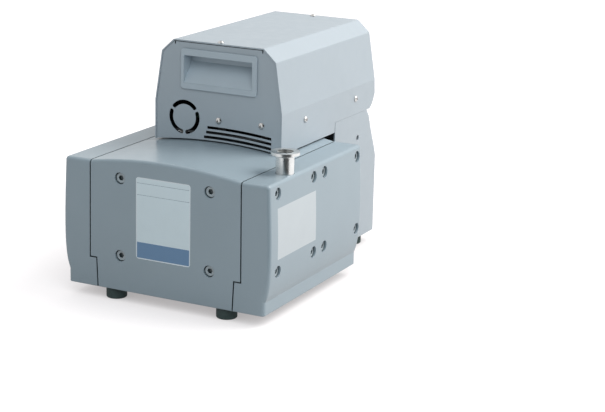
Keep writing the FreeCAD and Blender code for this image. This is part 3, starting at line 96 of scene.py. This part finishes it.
def gloss(material, shader, pattern, low, high):
    """The pattern moves the roughness between two values."""
    nodes, links = material.node_tree.nodes, material.node_tree.links
    span = nodes.new("ShaderNodeMapRange")
    span.inputs["From Min"].default_value = GLOSS_BEGINS
    span.inputs["From Max"].default_value = GLOSS_ENDS
    span.inputs["To Min"].default_value = low
    span.inputs["To Max"].default_value = high
    links.new(pattern, span.inputs["Value"])
    links.new(span.outputs["Result"], shader.inputs["Roughness"])


def grain(material, shader, pattern, depth):
    """The pattern stands in the surface, so many metres deep."""
    nodes, links = material.node_tree.nodes, material.node_tree.links
    bump = nodes.new("ShaderNodeBump")
    bump.inputs["Distance"].default_value = depth
    links.new(pattern, bump.inputs["Height"])
    links.new(bump.outputs["Normal"], shader.inputs["Normal"])


def dress(material, *names):
    """Gives a carried-over piece its finish, on every slot that it has."""
    for name in names:
        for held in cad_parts[name].material_slots:
            held.material = material


casting, shader, place = begin_material("cast aluminium", CAST_GREY, roughness=0.5, metallic=1.0)
skin = clouds(casting, place, size=0.0012, detail=5.0)
tint(casting, shader, clouds(casting, place, size=0.03), CAST_DULL, CAST_GREY)
gloss(casting, shader, skin, low=0.42, high=0.62)
grain(casting, shader, skin, depth=0.00012)
dress(casting, *CASTINGS)
for stage in STAGES:
    dress(casting, f"pump_head_{stage}", f"connecting_rod_{stage}")

# Feet: moulded rubber buttons screwed up into the base plate. They carry the machine
# and keep its shaking off the bench.
RUBBER_DARK = (0.045, 0.068, 0.066)
RUBBER_LIGHT = (0.065, 0.095, 0.092)
RUBBER_SHEEN = 0.35

rubber, shader, place = begin_material("foot rubber", RUBBER_DARK, roughness=0.7)
shader.inputs["Specular IOR Level"].default_value = RUBBER_SHEEN
bloom = clouds(rubber, place, size=0.004, detail=4.0)
tint(rubber, shader, bloom, RUBBER_DARK, RUBBER_LIGHT)
gloss(rubber, shader, bloom, low=0.6, high=0.8)
grain(rubber, shader, clouds(rubber, place, size=0.0005), depth=0.00004)
dress(rubber, "rubber_feet")

# Shaft, bearings, counterweights, rotor and the gas pipe: machined steel. The shaft
# runs in three ball bearings and carries both eccentrics.
STEEL = (0.50, 0.50, 0.49)
STEEL_DULL = (0.38, 0.38, 0.38)

steel, shader, place = begin_material("machined steel", STEEL, roughness=0.3, metallic=1.0)
turning = clouds(steel, place, size=0.0006, detail=2.0, stretch=(0.05, 1.0, 0.05))
tint(steel, shader, clouds(steel, place, size=0.02), STEEL_DULL, STEEL)
gloss(steel, shader, turning, low=0.22, high=0.38)
grain(steel, shader, turning, depth=0.00002)
dress(steel, "shaft_bearings", "crankshaft", "rod_bearings", "counterweights", "motor_rotor",
      "cross_pipe")

# Diaphragms, their clamping discs and the valve discs: rubber faced with a slippery
# pale polymer, clamped at the rim between the crankcase and each head.
FACING = (0.62, 0.60, 0.54)
FACING_SHADE = (0.50, 0.48, 0.43)

facing, shader, place = begin_material("pale diaphragm facing", FACING, roughness=0.42)
tint(facing, shader, clouds(facing, place, size=0.008), FACING_SHADE, FACING)
grain(facing, shader, clouds(facing, place, size=0.0008), depth=0.00002)
dress(facing, "valve_discs")
for stage in STAGES:
    dress(facing, f"diaphragm_{stage}", f"clamping_disc_{stage}")

# Motor windings and laminations: copper wire under dark varnish, pressed in the
# motor's housing.
VARNISH = (0.20, 0.075, 0.03)
VARNISH_DARK = (0.09, 0.035, 0.018)

winding, shader, place = begin_material("varnished windings", VARNISH, roughness=0.35)
wires = clouds(winding, place, size=0.001, detail=3.0, stretch=(1.0, 0.1, 1.0))
tint(winding, shader, wires, VARNISH_DARK, VARNISH)
grain(winding, shader, wires, depth=0.0002)
dress(winding, "motor_stator")

# Cooling fan, air grille, gas ballast knob, mains inlet and power switch: black
# moulded plastic, some of it ribbed or fluted for the fingers. The tray under the
# electronics is folded sheet under a black coat that looks the same.
BLACK_PLASTIC = (0.016, 0.017, 0.019)
BLACK_WORN = (0.028, 0.029, 0.032)

black_plastic, shader, place = begin_material("black moulding", BLACK_PLASTIC, roughness=0.45)
flow = clouds(black_plastic, place, size=0.01)
tint(black_plastic, shader, flow, BLACK_PLASTIC, BLACK_WORN)
gloss(black_plastic, shader, flow, low=0.38, high=0.52)
grain(black_plastic, shader, clouds(black_plastic, place, size=0.0006), depth=0.00003)
dress(black_plastic, "cooling_fan", "fan_grille", "gas_ballast_knob", "mains_inlet",
      "switch_frame", "power_switch", "housing_tray")

# Casing covers: four mouldings of pale blue-grey plastic with a fine spark-eroded
# grain. They close on each other with lips behind narrow open seams.
CASING_GREY = (0.340, 0.418, 0.468)
CASING_SHADE = (0.331, 0.407, 0.456)
CREVICE_REACH = 0.007
CREVICE_PAINTED_SHADE = (0.035, 0.052, 0.058)
CREVICE_SHUT = 0.25
CREVICE_OPEN = 0.66
UNDER_SOCKET = 6
OVER_SOCKET = 7
MIXED_SOCKET = 2


def paint_crevice_shade(material, shader, reach, dark):
    """Painted shade: darkens the colour where other surfaces stand nearer than the reach, in
    metres.
    """
    nodes, links = material.node_tree.nodes, material.node_tree.links
    clean = shader.inputs["Base Color"].links[0].from_socket
    nearness = nodes.new("ShaderNodeAmbientOcclusion")
    nearness.inputs["Distance"].default_value = reach
    span = nodes.new("ShaderNodeMapRange")
    span.inputs["From Min"].default_value = CREVICE_SHUT
    span.inputs["From Max"].default_value = CREVICE_OPEN
    shaded_colour = nodes.new("ShaderNodeMix")
    shaded_colour.data_type = "RGBA"
    shaded_colour.inputs[UNDER_SOCKET].default_value = (*dark, 1.0)
    links.new(nearness.outputs["AO"], span.inputs["Value"])
    links.new(span.outputs["Result"], shaded_colour.inputs[0])
    links.new(clean, shaded_colour.inputs[OVER_SOCKET])
    links.new(shaded_colour.outputs[MIXED_SOCKET], shader.inputs["Base Color"])


casing, shader, place = begin_material("moulded casing", CASING_GREY, roughness=0.3)
tint(casing, shader, clouds(casing, place, size=0.05), CASING_SHADE, CASING_GREY)
gloss(casing, shader, clouds(casing, place, size=0.012), low=0.28, high=0.33)
grain(casing, shader, clouds(casing, place, size=0.00045, detail=2.0), depth=0.000018)
# Painted shade: the covers' colour darkens in the seams and screw recesses, where shade falls.
paint_crevice_shade(casing, shader, CREVICE_REACH, CREVICE_PAINTED_SHADE)
dress(casing, "front_cover", "rear_cover", "left_side_cover", "right_side_cover")

# Cover screws: socket screws with a grey coat, deep in round recesses of the covers. The sockets
# and the gaps round the heads are painted dark as shade, since no light reaches them.
# The coat is painted lighter than the covers' grey, painted light that makes up for the shade
# the heads sit in.
SCREW_GREY = (0.50, 0.56, 0.59)
SCREW_SHADE = (0.42, 0.475, 0.505)
HEAD_SKIN = 0.0003
FAR_OFF = 1.0


def begin_screw_coat(name):
    """The grey coat of the covers' screws."""
    coat, shader, place = begin_material(name, SCREW_GREY, roughness=0.4)
    tint(coat, shader, clouds(coat, place, size=0.003), SCREW_SHADE, SCREW_GREY)
    grain(coat, shader, clouds(coat, place, size=0.0005), depth=0.00002)
    return coat, shader, place


def axes_of(material, place):
    """The place's X, Y and Z, each by itself."""
    split = material.node_tree.nodes.new("ShaderNodeSeparateXYZ")
    material.node_tree.links.new(place, split.inputs[0])
    return split.outputs["X"], split.outputs["Y"], split.outputs["Z"]


def level_mask(material, value, low, high):
    """One where a coordinate lies between two levels, and nought elsewhere."""
    nodes, links = material.node_tree.nodes, material.node_tree.links
    above = nodes.new("ShaderNodeMath")
    above.operation = "GREATER_THAN"
    above.inputs[1].default_value = low
    below = nodes.new("ShaderNodeMath")
    below.operation = "LESS_THAN"
    below.inputs[1].default_value = high
    both = nodes.new("ShaderNodeMath")
    both.operation = "MULTIPLY"
    links.new(value, above.inputs[0])
    links.new(value, below.inputs[0])
    links.new(above.outputs[0], both.inputs[0])
    links.new(below.outputs[0], both.inputs[1])
    return both.outputs[0]


def print_over(material, shader, mask, colour):
    """Prints a colour over what the piece shows so far, where the mask is one."""
    nodes, links = material.node_tree.nodes, material.node_tree.links
    under = shader.inputs["Base Color"].links[0].from_socket
    ink = nodes.new("ShaderNodeMix")
    ink.data_type = "RGBA"
    links.new(mask, ink.inputs[0])
    links.new(under, ink.inputs[UNDER_SOCKET])
    ink.inputs[OVER_SOCKET].default_value = (*colour, 1.0)
    links.new(ink.outputs[MIXED_SOCKET], shader.inputs["Base Color"])


side_screws, shader, place = begin_screw_coat("grey coated screws")
# Painted shade in the sockets and the gaps round the heads.
paint_crevice_shade(side_screws, shader, CREVICE_REACH, CREVICE_PAINTED_SHADE)
dress(side_screws, "side_cover_screws")

front_screws, shader, place = begin_screw_coat("grey coated front screws")
# Painted shade: everything deeper than the heads' faces, in the sockets and round the heads, is
# printed in the crevice shade colour.
_, inwards, _ = axes_of(front_screws, place)
head_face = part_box("front_cover_screws")[0][1]
shade_below_face = level_mask(front_screws, inwards, head_face + HEAD_SKIN, head_face + FAR_OFF)
print_over(front_screws, shader, shade_below_face, CREVICE_PAINTED_SHADE)
dress(front_screws, "front_cover_screws")

# Data plate on the front: a printed film let into the cover. It has a pale border,
# thin ruled lines and a plain blue band along the bottom.
FILM_FIELD = (0.80, 0.92, 0.97)
FILM_BORDER = (0.86, 0.93, 0.97)
FILM_BAND = (0.14, 0.27, 0.45)
FILM_RULE = (0.20, 0.26, 0.33)
FILM_SHADE = tuple(c * 0.98 for c in FILM_FIELD)
BORDER_WIDTH = 0.0011
BAND_HEIGHT = 0.0180
RULE_DROPS = (0.006, 0.0185)
RULE_WIDTH = 0.00035

film, shader, place = begin_material("printed film", FILM_FIELD, roughness=0.3)
tint(film, shader, clouds(film, place, size=0.02), FILM_SHADE, FILM_FIELD)
across, _, upwards = axes_of(film, place)
(left, _, foot), (right, _, head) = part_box("rating_plate")
print_over(film, shader, level_mask(film, upwards, foot, foot + BAND_HEIGHT), FILM_BAND)
for drop in RULE_DROPS:
    level = head - drop
    rule = level_mask(film, upwards, level - RULE_WIDTH / 2, level + RULE_WIDTH / 2)
    print_over(film, shader, rule, FILM_RULE)
for value, low, high in ((across, left, right), (upwards, foot, head)):
    for edge in ((low - FAR_OFF, low + BORDER_WIDTH), (high - BORDER_WIDTH, high + FAR_OFF)):
        print_over(film, shader, level_mask(film, value, *edge), FILM_BORDER)
dress(film, "rating_plate")

# Plate on the right side: the same kind of film in plain near-white. It lies in a
# shallow seat of the right cover.
SIDE_FILM = (0.585, 0.635, 0.665)
SIDE_FILM_SHADE = (0.57, 0.62, 0.65)

side_film, shader, place = begin_material("side film", SIDE_FILM, roughness=0.32)
tint(side_film, shader, clouds(side_film, place, size=0.03), SIDE_FILM_SHADE, SIDE_FILM)
grain(side_film, shader, clouds(side_film, place, size=0.001), depth=0.000008)
dress(side_film, "side_plate")

# Vacuum inlet, exhaust nozzle, ballast valve and the controller's socket: turned
# stainless steel. The inlet is a small flange on a polished tube that stands up
# through the right cover, with fine turning marks that smear what it mirrors.
STAINLESS = (0.68, 0.695, 0.69)
STAINLESS_SHADE = (0.62, 0.635, 0.63)
TUBE_SMEAR = 0.6
TUBE_SMEAR_TURN = 0.25

stainless, shader, place = begin_material("turned stainless steel", STAINLESS,
                                          roughness=0.2, metallic=1.0)
tint(stainless, shader, clouds(stainless, place, size=0.01), STAINLESS_SHADE, STAINLESS)
gloss(stainless, shader, clouds(stainless, place, size=0.0008), low=0.16, high=0.24)
dress(stainless, "exhaust_nozzle", "gas_ballast_valve", "controller_socket")

polished, shader, place = begin_material("polished tube", STAINLESS, roughness=0.3, metallic=1.0)
tint(polished, shader, clouds(polished, place, size=0.01), STAINLESS_SHADE, STAINLESS)
marks = clouds(polished, place, size=0.0004, detail=2.0, stretch=(0.04, 0.04, 1.0))
gloss(polished, shader, marks, low=0.26, high=0.34)
(_, flange_front, _), (flange_right, flange_back, _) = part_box("inlet_flange")
tube_x = flange_right - (flange_back - flange_front) / 2
tube_y = (flange_front + flange_back) / 2
nodes, links = polished.node_tree.nodes, polished.node_tree.links
from_axis = nodes.new("ShaderNodeVectorMath")
from_axis.operation = "SUBTRACT"
from_axis.inputs[1].default_value = (tube_x, tube_y, 0.0)
around = nodes.new("ShaderNodeVectorMath")
around.operation = "CROSS_PRODUCT"
around.inputs[1].default_value = (0.0, 0.0, 1.0)
links.new(place, from_axis.inputs[0])
links.new(from_axis.outputs["Vector"], around.inputs[0])
links.new(around.outputs["Vector"], shader.inputs["Tangent"])
shader.inputs["Anisotropic"].default_value = TUBE_SMEAR
shader.inputs["Anisotropic Rotation"].default_value = TUBE_SMEAR_TURN
dress(polished, "inlet_flange")

# Rear hood and electronics housing: folded steel sheet under a satin powder coat of
# pale blue grey. The cover is one sheet bent four times over the front panel.
COAT_GREY = (0.452, 0.510, 0.556)
COAT_SHADE = (0.441, 0.498, 0.543)


def begin_powder_coat(name):
    """The coat of the housing's sheets."""
    coat, shader, place = begin_material(name, COAT_GREY, roughness=0.45)
    tint(coat, shader, clouds(coat, place, size=0.06), COAT_SHADE, COAT_GREY)
    gloss(coat, shader, clouds(coat, place, size=0.01), low=0.40, high=0.50)
    grain(coat, shader, clouds(coat, place, size=0.0009, detail=2.0), depth=0.00003)
    return coat, shader, place


powder_coat, shader, place = begin_powder_coat("powder coat")
dress(powder_coat, "rear_hood", "housing_cover", "rear_panel")

# Front panel: a sheet under the same coat, with louvres and a ring of three air slots.
# The ring is closed first and its slots are cut anew, with their webs turned. The cut edges are
# painted dark, a painted shade for the shade of the closed housing that they lie in.
RING_X = -0.0410
RING_Z = 0.1794
RING_RADIUS = 0.0164
SLOT_WIDTH = 0.0046
SLOT_REACH = math.radians(112.1)
SLOT_STARTS = (33.95, 153.95, 273.95)
SLOT_STEPS = 28
SLOT_ROUND = 0.45 * SLOT_WIDTH
SLOT_ROUND_STEPS = 4
END_ANGLE = 0.01
RING_MARGIN = 0.0012
RING_SIDES = 64
PANEL_SHEET = 0.0020
PANEL_SKIN = 0.0001
CUT_PAINTED_SHADE = (0.010, 0.016, 0.019)
WELD = 0.00001

panel_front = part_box("front_panel")[0][1]
ring_middle = Vector((RING_X, panel_front + PANEL_SHEET / 2, RING_Z))

# The sheet starts as a copy of the panel, with its loose corners welded together.
panel_sheet = bpy.data.objects.new("panel_sheet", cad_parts["front_panel"].data.copy())
bpy.context.scene.collection.objects.link(panel_sheet)
for chosen in bpy.context.selected_objects:
    chosen.select_set(False)
panel_sheet.select_set(True)
bpy.context.view_layer.objects.active = panel_sheet
bpy.ops.object.mode_set(mode="EDIT")
bpy.ops.mesh.select_all(action="SELECT")
bpy.ops.mesh.remove_doubles(threshold=WELD)
bpy.ops.object.mode_set(mode="OBJECT")
panel_sheet.select_set(False)


def join_or_cut(piece, tool, operation):
    """Adds the tool's body to a piece, or cuts it out, and applies that."""
    work = piece.modifiers.new("work", "BOOLEAN")
    work.solver = "MANIFOLD"
    work.operation = operation
    work.object = tool
    bpy.context.view_layer.objects.active = piece
    bpy.ops.object.modifier_apply(modifier=work.name)


# A disc as thick as the sheet closes the whole ring.
filler_radius = RING_RADIUS + SLOT_WIDTH / 2 + RING_MARGIN
bpy.ops.mesh.primitive_cylinder_add(vertices=RING_SIDES, radius=filler_radius, depth=PANEL_SHEET,
                                    location=ring_middle,
                                    rotation=(math.radians(90.0), 0.0, 0.0))
ring_filler = bpy.context.object
join_or_cut(panel_sheet, ring_filler, "UNION")
bpy.data.objects.remove(ring_filler)

# One slot's cutter is a square swept round the ring's middle, with rounded ends.
bpy.ops.mesh.primitive_plane_add(size=SLOT_WIDTH, location=(0.0, 0.0, 0.0))
slot_cutter = bpy.context.object
bpy.ops.object.mode_set(mode="EDIT")
bpy.ops.mesh.select_all(action="SELECT")
bpy.ops.transform.translate(value=(RING_RADIUS, 0.0, 0.0))
bpy.ops.mesh.spin(steps=SLOT_STEPS, angle=SLOT_REACH, center=(0.0, 0.0, 0.0),
                  axis=(0.0, 1.0, 0.0))
bpy.ops.mesh.select_all(action="SELECT")
bpy.ops.mesh.normals_make_consistent(inside=False)
bpy.ops.mesh.select_all(action="DESELECT")
bpy.ops.object.mode_set(mode="OBJECT")
points = slot_cutter.data.vertices
for edge in slot_cutter.data.edges:
    near, far = (points[i].co for i in edge.vertices)
    turned = math.atan2(near.z, near.x)
    at_end = min(abs(turned), abs(turned - SLOT_REACH)) < END_ANGLE
    edge.select = at_end and abs(near.x - far.x) < WELD and abs(near.z - far.z) < WELD
bpy.ops.object.mode_set(mode="EDIT")
bpy.ops.mesh.select_mode(type="EDGE")
bpy.ops.mesh.bevel(offset=SLOT_ROUND, segments=SLOT_ROUND_STEPS, affect="EDGES")
bpy.ops.mesh.select_mode(type="VERT")
bpy.ops.object.mode_set(mode="OBJECT")

# The same cutter makes the three slots, one after the other.
for start in SLOT_STARTS:
    slot_cutter.matrix_world = (Matrix.Translation(ring_middle)
                                @ Matrix.Rotation(-math.radians(start), 4, "Y"))
    bpy.context.view_layer.update()
    join_or_cut(panel_sheet, slot_cutter, "DIFFERENCE")
bpy.data.objects.remove(slot_cutter)

panel_coat, shader, place = begin_powder_coat("powder coat on the panel")
# Painted shade: all of the sheet behind its front face, the slots' cut walls too, is printed
# dark.
_, inwards, _ = axes_of(panel_coat, place)
shaded_cut_edges = level_mask(panel_coat, inwards, panel_front + PANEL_SKIN, panel_front + FAR_OFF)
print_over(panel_coat, shader, shaded_cut_edges, CUT_PAINTED_SHADE)
panel_sheet.data.materials.clear()
panel_sheet.data.materials.append(panel_coat)
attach(panel_sheet, "chassis")
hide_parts("front_panel")

# Recessed handle: one moulding in the colour of the housing, pressed into the panel's
# opening behind a thin raised rim.
GRIP_GREY = (0.515, 0.590, 0.645)
GRIP_SHADE = (0.503, 0.576, 0.630)

grip_plastic, shader, place = begin_material("handle moulding", GRIP_GREY, roughness=0.4)
tint(grip_plastic, shader, clouds(grip_plastic, place, size=0.03), GRIP_SHADE, GRIP_GREY)
gloss(grip_plastic, shader, clouds(grip_plastic, place, size=0.01), low=0.36, high=0.44)
grain(grip_plastic, shader, clouds(grip_plastic, place, size=0.0006, detail=2.0), depth=0.00002)
dress(grip_plastic, "handle_shell")

# Screws of the housing: small zinc-plated button heads, in the front panel, on top
# and in both sides.
ZINC = (0.62, 0.615, 0.60)
ZINC_SHADE = (0.50, 0.50, 0.495)

zinc, shader, place = begin_material("zinc plating", ZINC, roughness=0.24, metallic=1.0)
tint(zinc, shader, clouds(zinc, place, size=0.002), ZINC_SHADE, ZINC)
gloss(zinc, shader, clouds(zinc, place, size=0.0008), low=0.18, high=0.32)
dress(zinc, "housing_screws")

# Power electronics inside: a green board on the tray's posts, with a finned sink of
# bare aluminium and two sleeved capacitors.
BOARD_GREEN = (0.02, 0.10, 0.045)
BOARD_TRACK = (0.03, 0.15, 0.07)
SLEEVE = (0.02, 0.03, 0.06)
SLEEVE_LIGHT = tuple(c * 1.3 for c in SLEEVE)

board, shader, place = begin_material("circuit board", BOARD_GREEN, roughness=0.35)
tracks = clouds(board, place, size=0.004, detail=1.0, stretch=(1.0, 0.2, 1.0))
tint(board, shader, tracks, BOARD_GREEN, BOARD_TRACK)
dress(board, "inverter_board")
dress(casting, "heat_sink")

sleeve, shader, place = begin_material("capacitor sleeve", SLEEVE, roughness=0.3)
tint(sleeve, shader, clouds(sleeve, place, size=0.01), SLEEVE, SLEEVE_LIGHT)
dress(sleeve, "capacitors")

# Floor: pale board that the machine stands on, as on a bright photographer's table. It keeps the
# machine's shadow from the lamps, and its own glow is dimmed where the machine closes in on it,
# a painted shadow that deepens it there.
FLOOR_HALF = 4.0
FLOOR_PALE = (0.42, 0.42, 0.42)
FLOOR_GLOW = (1.0, 0.965, 0.97)
FLOOR_REACH = 0.20
GLOW_SHUT = 0.36
GLOW_OPEN = 0.90

bpy.ops.mesh.primitive_plane_add(size=2 * FLOOR_HALF, location=(0.0, 0.0, 0.0))
floor = bpy.context.object
floor.name = "floor"
floor_board, shader, place = begin_material("floor board", FLOOR_PALE, roughness=0.9)
nodes, links = floor_board.node_tree.nodes, floor_board.node_tree.links
shader.inputs["Specular IOR Level"].default_value = 0.0
# Painted shadow: the glow that the camera and the metal see falls from open to shut as the
# machine closes in.
around_here = nodes.new("ShaderNodeAmbientOcclusion")
around_here.inputs["Distance"].default_value = FLOOR_REACH
glow_with_painted_shadow = nodes.new("ShaderNodeMapRange")
glow_with_painted_shadow.inputs["To Min"].default_value = GLOW_SHUT
glow_with_painted_shadow.inputs["To Max"].default_value = GLOW_OPEN
links.new(around_here.outputs["AO"], glow_with_painted_shadow.inputs["Value"])


def seen_or_mirrored(nodes, links):
    """One for what the camera sees, directly or through metal and glass."""
    kinds = nodes.new("ShaderNodeLightPath")
    first = nodes.new("ShaderNodeMath")
    first.operation = "MAXIMUM"
    links.new(kinds.outputs["Is Camera Ray"], first.inputs[0])
    links.new(kinds.outputs["Is Glossy Ray"], first.inputs[1])
    second = nodes.new("ShaderNodeMath")
    second.operation = "MAXIMUM"
    links.new(first.outputs[0], second.inputs[0])
    links.new(kinds.outputs["Is Transmission Ray"], second.inputs[1])
    return second.outputs[0]


only_seen = nodes.new("ShaderNodeMath")
only_seen.operation = "MULTIPLY"
links.new(seen_or_mirrored(nodes, links), only_seen.inputs[0])
links.new(glow_with_painted_shadow.outputs["Result"], only_seen.inputs[1])
shader.inputs["Emission Color"].default_value = (*FLOOR_GLOW, 1.0)
links.new(only_seen.outputs[0], shader.inputs["Emission Strength"])
floor.data.materials.append(floor_board)

# Light: a large soft lamp high on the right and a little behind, a weaker one in front,
# and an even pale surround. They leave the front in open shade, and the front lamp
# isn't mirrored in the metal.
SURROUND = 0.30
SURROUND_COLOUR = (0.93, 0.98, 1.0)
KEY_POWER = 72.0
KEY_SIZE = 1.8
KEY_PLACE = Vector((1.6, 1.0, 2.1))
FRONT_POWER = 26.5
FRONT_SIZE = 1.8
FRONT_PLACE = Vector((1.3, -1.9, 2.0))
KEY_COLOUR = (1.0, 0.975, 0.95)
FRONT_COLOUR = (0.87, 0.95, 1.0)
AIM = Vector((0.0, 0.0, 0.12))

studio = bpy.data.worlds.new("studio")
bpy.context.scene.world = studio
studio.use_nodes = True
nodes, links = studio.node_tree.nodes, studio.node_tree.links
even = nodes["Background"]
even.inputs["Color"].default_value = (*SURROUND_COLOUR, 1.0)
even.inputs["Strength"].default_value = SURROUND
white = nodes.new("ShaderNodeBackground")
white.inputs["Color"].default_value = (1.0, 1.0, 1.0, 1.0)
white.inputs["Strength"].default_value = 1.0
chosen_light = nodes.new("ShaderNodeMixShader")
links.new(seen_or_mirrored(nodes, links), chosen_light.inputs[0])
links.new(even.outputs[0], chosen_light.inputs[1])
links.new(white.outputs[0], chosen_light.inputs[2])
links.new(chosen_light.outputs[0], nodes["World Output"].inputs["Surface"])

for name, power, size, spot, colour in (
        ("key lamp", KEY_POWER, KEY_SIZE, KEY_PLACE, KEY_COLOUR),
        ("front lamp", FRONT_POWER, FRONT_SIZE, FRONT_PLACE, FRONT_COLOUR)):
    lamp = bpy.data.objects.new(name, bpy.data.lights.new(name, "AREA"))
    lamp.data.energy = power
    lamp.data.size = size
    lamp.data.color = colour
    lamp.visible_glossy = name == "key lamp"
    lamp.location = spot
    lamp.rotation_euler = (AIM - spot).to_track_quat("-Z", "Y").to_euler()
    bpy.context.scene.collection.objects.link(lamp)

# Dark cloth that runs along the ground from the inlet's side of the machine, widens and
# hangs up far behind the camera. Only mirrored rays meet it: it puts the dark streak
# into the polished tube.
CARD_NEAR = 0.47
CARD_SPREAD = 6.0
CARD_LENGTH = 2.0
CARD_AWAY = 1.21
CARD_TALL = 3.0
CARD_LEVEL = 0.002
CARD_DARK = (0.012, 0.014, 0.015)
CARD_WORN = tuple(c * 1.5 for c in CARD_DARK)
CARD_TURN = math.radians(37.0)
END_MARGIN = 0.001

bpy.ops.mesh.primitive_plane_add(size=1.0, location=(0.0, 0.0, 0.0))
card = bpy.context.object
card.name = "dark_card"
bpy.ops.object.mode_set(mode="EDIT")
bpy.ops.mesh.select_all(action="SELECT")
bpy.ops.transform.resize(value=(CARD_NEAR, CARD_LENGTH, 1.0))
bpy.ops.mesh.select_all(action="DESELECT")
bpy.ops.object.mode_set(mode="OBJECT")

# Its far edge is widened, and the cloth goes on upwards from there.
points = card.data.vertices
for edge in card.data.edges:
    edge.select = all(points[i].co.y < END_MARGIN - CARD_LENGTH / 2 for i in edge.vertices)
bpy.ops.object.mode_set(mode="EDIT")
bpy.ops.mesh.select_mode(type="EDGE")
bpy.ops.transform.resize(value=(CARD_SPREAD, 1.0, 1.0))
bpy.ops.mesh.extrude_region_move(TRANSFORM_OT_translate={"value": (0.0, 0.0, CARD_TALL)})
bpy.ops.mesh.select_mode(type="VERT")
bpy.ops.object.mode_set(mode="OBJECT")
card.matrix_world = (Matrix.Translation((tube_x, tube_y, CARD_LEVEL))
                     @ Matrix.Rotation(CARD_TURN, 4, "Z")
                     @ Matrix.Translation((0.0, -CARD_AWAY, 0.0)))
card_cloth, shader, place = begin_material("black cloth", CARD_DARK, roughness=1.0)
tint(card_cloth, shader, clouds(card_cloth, place, size=0.05), CARD_DARK, CARD_WORN)
card.data.materials.append(card_cloth)
card.visible_camera = False
card.visible_diffuse = False
card.visible_shadow = False

# Camera: a long lens to the right of the front, a little above the machine, turned
# slightly about its own axis.
LENS = 104.0
SENSOR_WIDTH = 36.0
TURN = math.radians(26.42)
RISE = math.radians(15.21)
LEAN = math.radians(1.41)
STAND = Vector((0.8898, -1.6502, 0.5818))

# The camera's own three axes: back, right and up, the last two leaning.
back = Vector((math.sin(TURN) * math.cos(RISE), -math.cos(TURN) * math.cos(RISE),
               math.sin(RISE)))
level_right = Vector((math.cos(TURN), math.sin(TURN), 0.0))
level_up = back.cross(level_right)
lean_right = math.cos(LEAN) * level_right + math.sin(LEAN) * level_up
lean_up = -math.sin(LEAN) * level_right + math.cos(LEAN) * level_up
camera = bpy.data.objects.new("camera", bpy.data.cameras.new("camera"))
camera.data.lens = LENS
camera.data.sensor_width = SENSOR_WIDTH
facing_way = Matrix((lean_right, lean_up, back)).transposed().to_4x4()
camera.matrix_world = Matrix.Translation(STAND) @ facing_way
bpy.context.scene.collection.objects.link(camera)
bpy.context.scene.camera = camera
bpy.context.scene.view_settings.view_transform = "Standard"
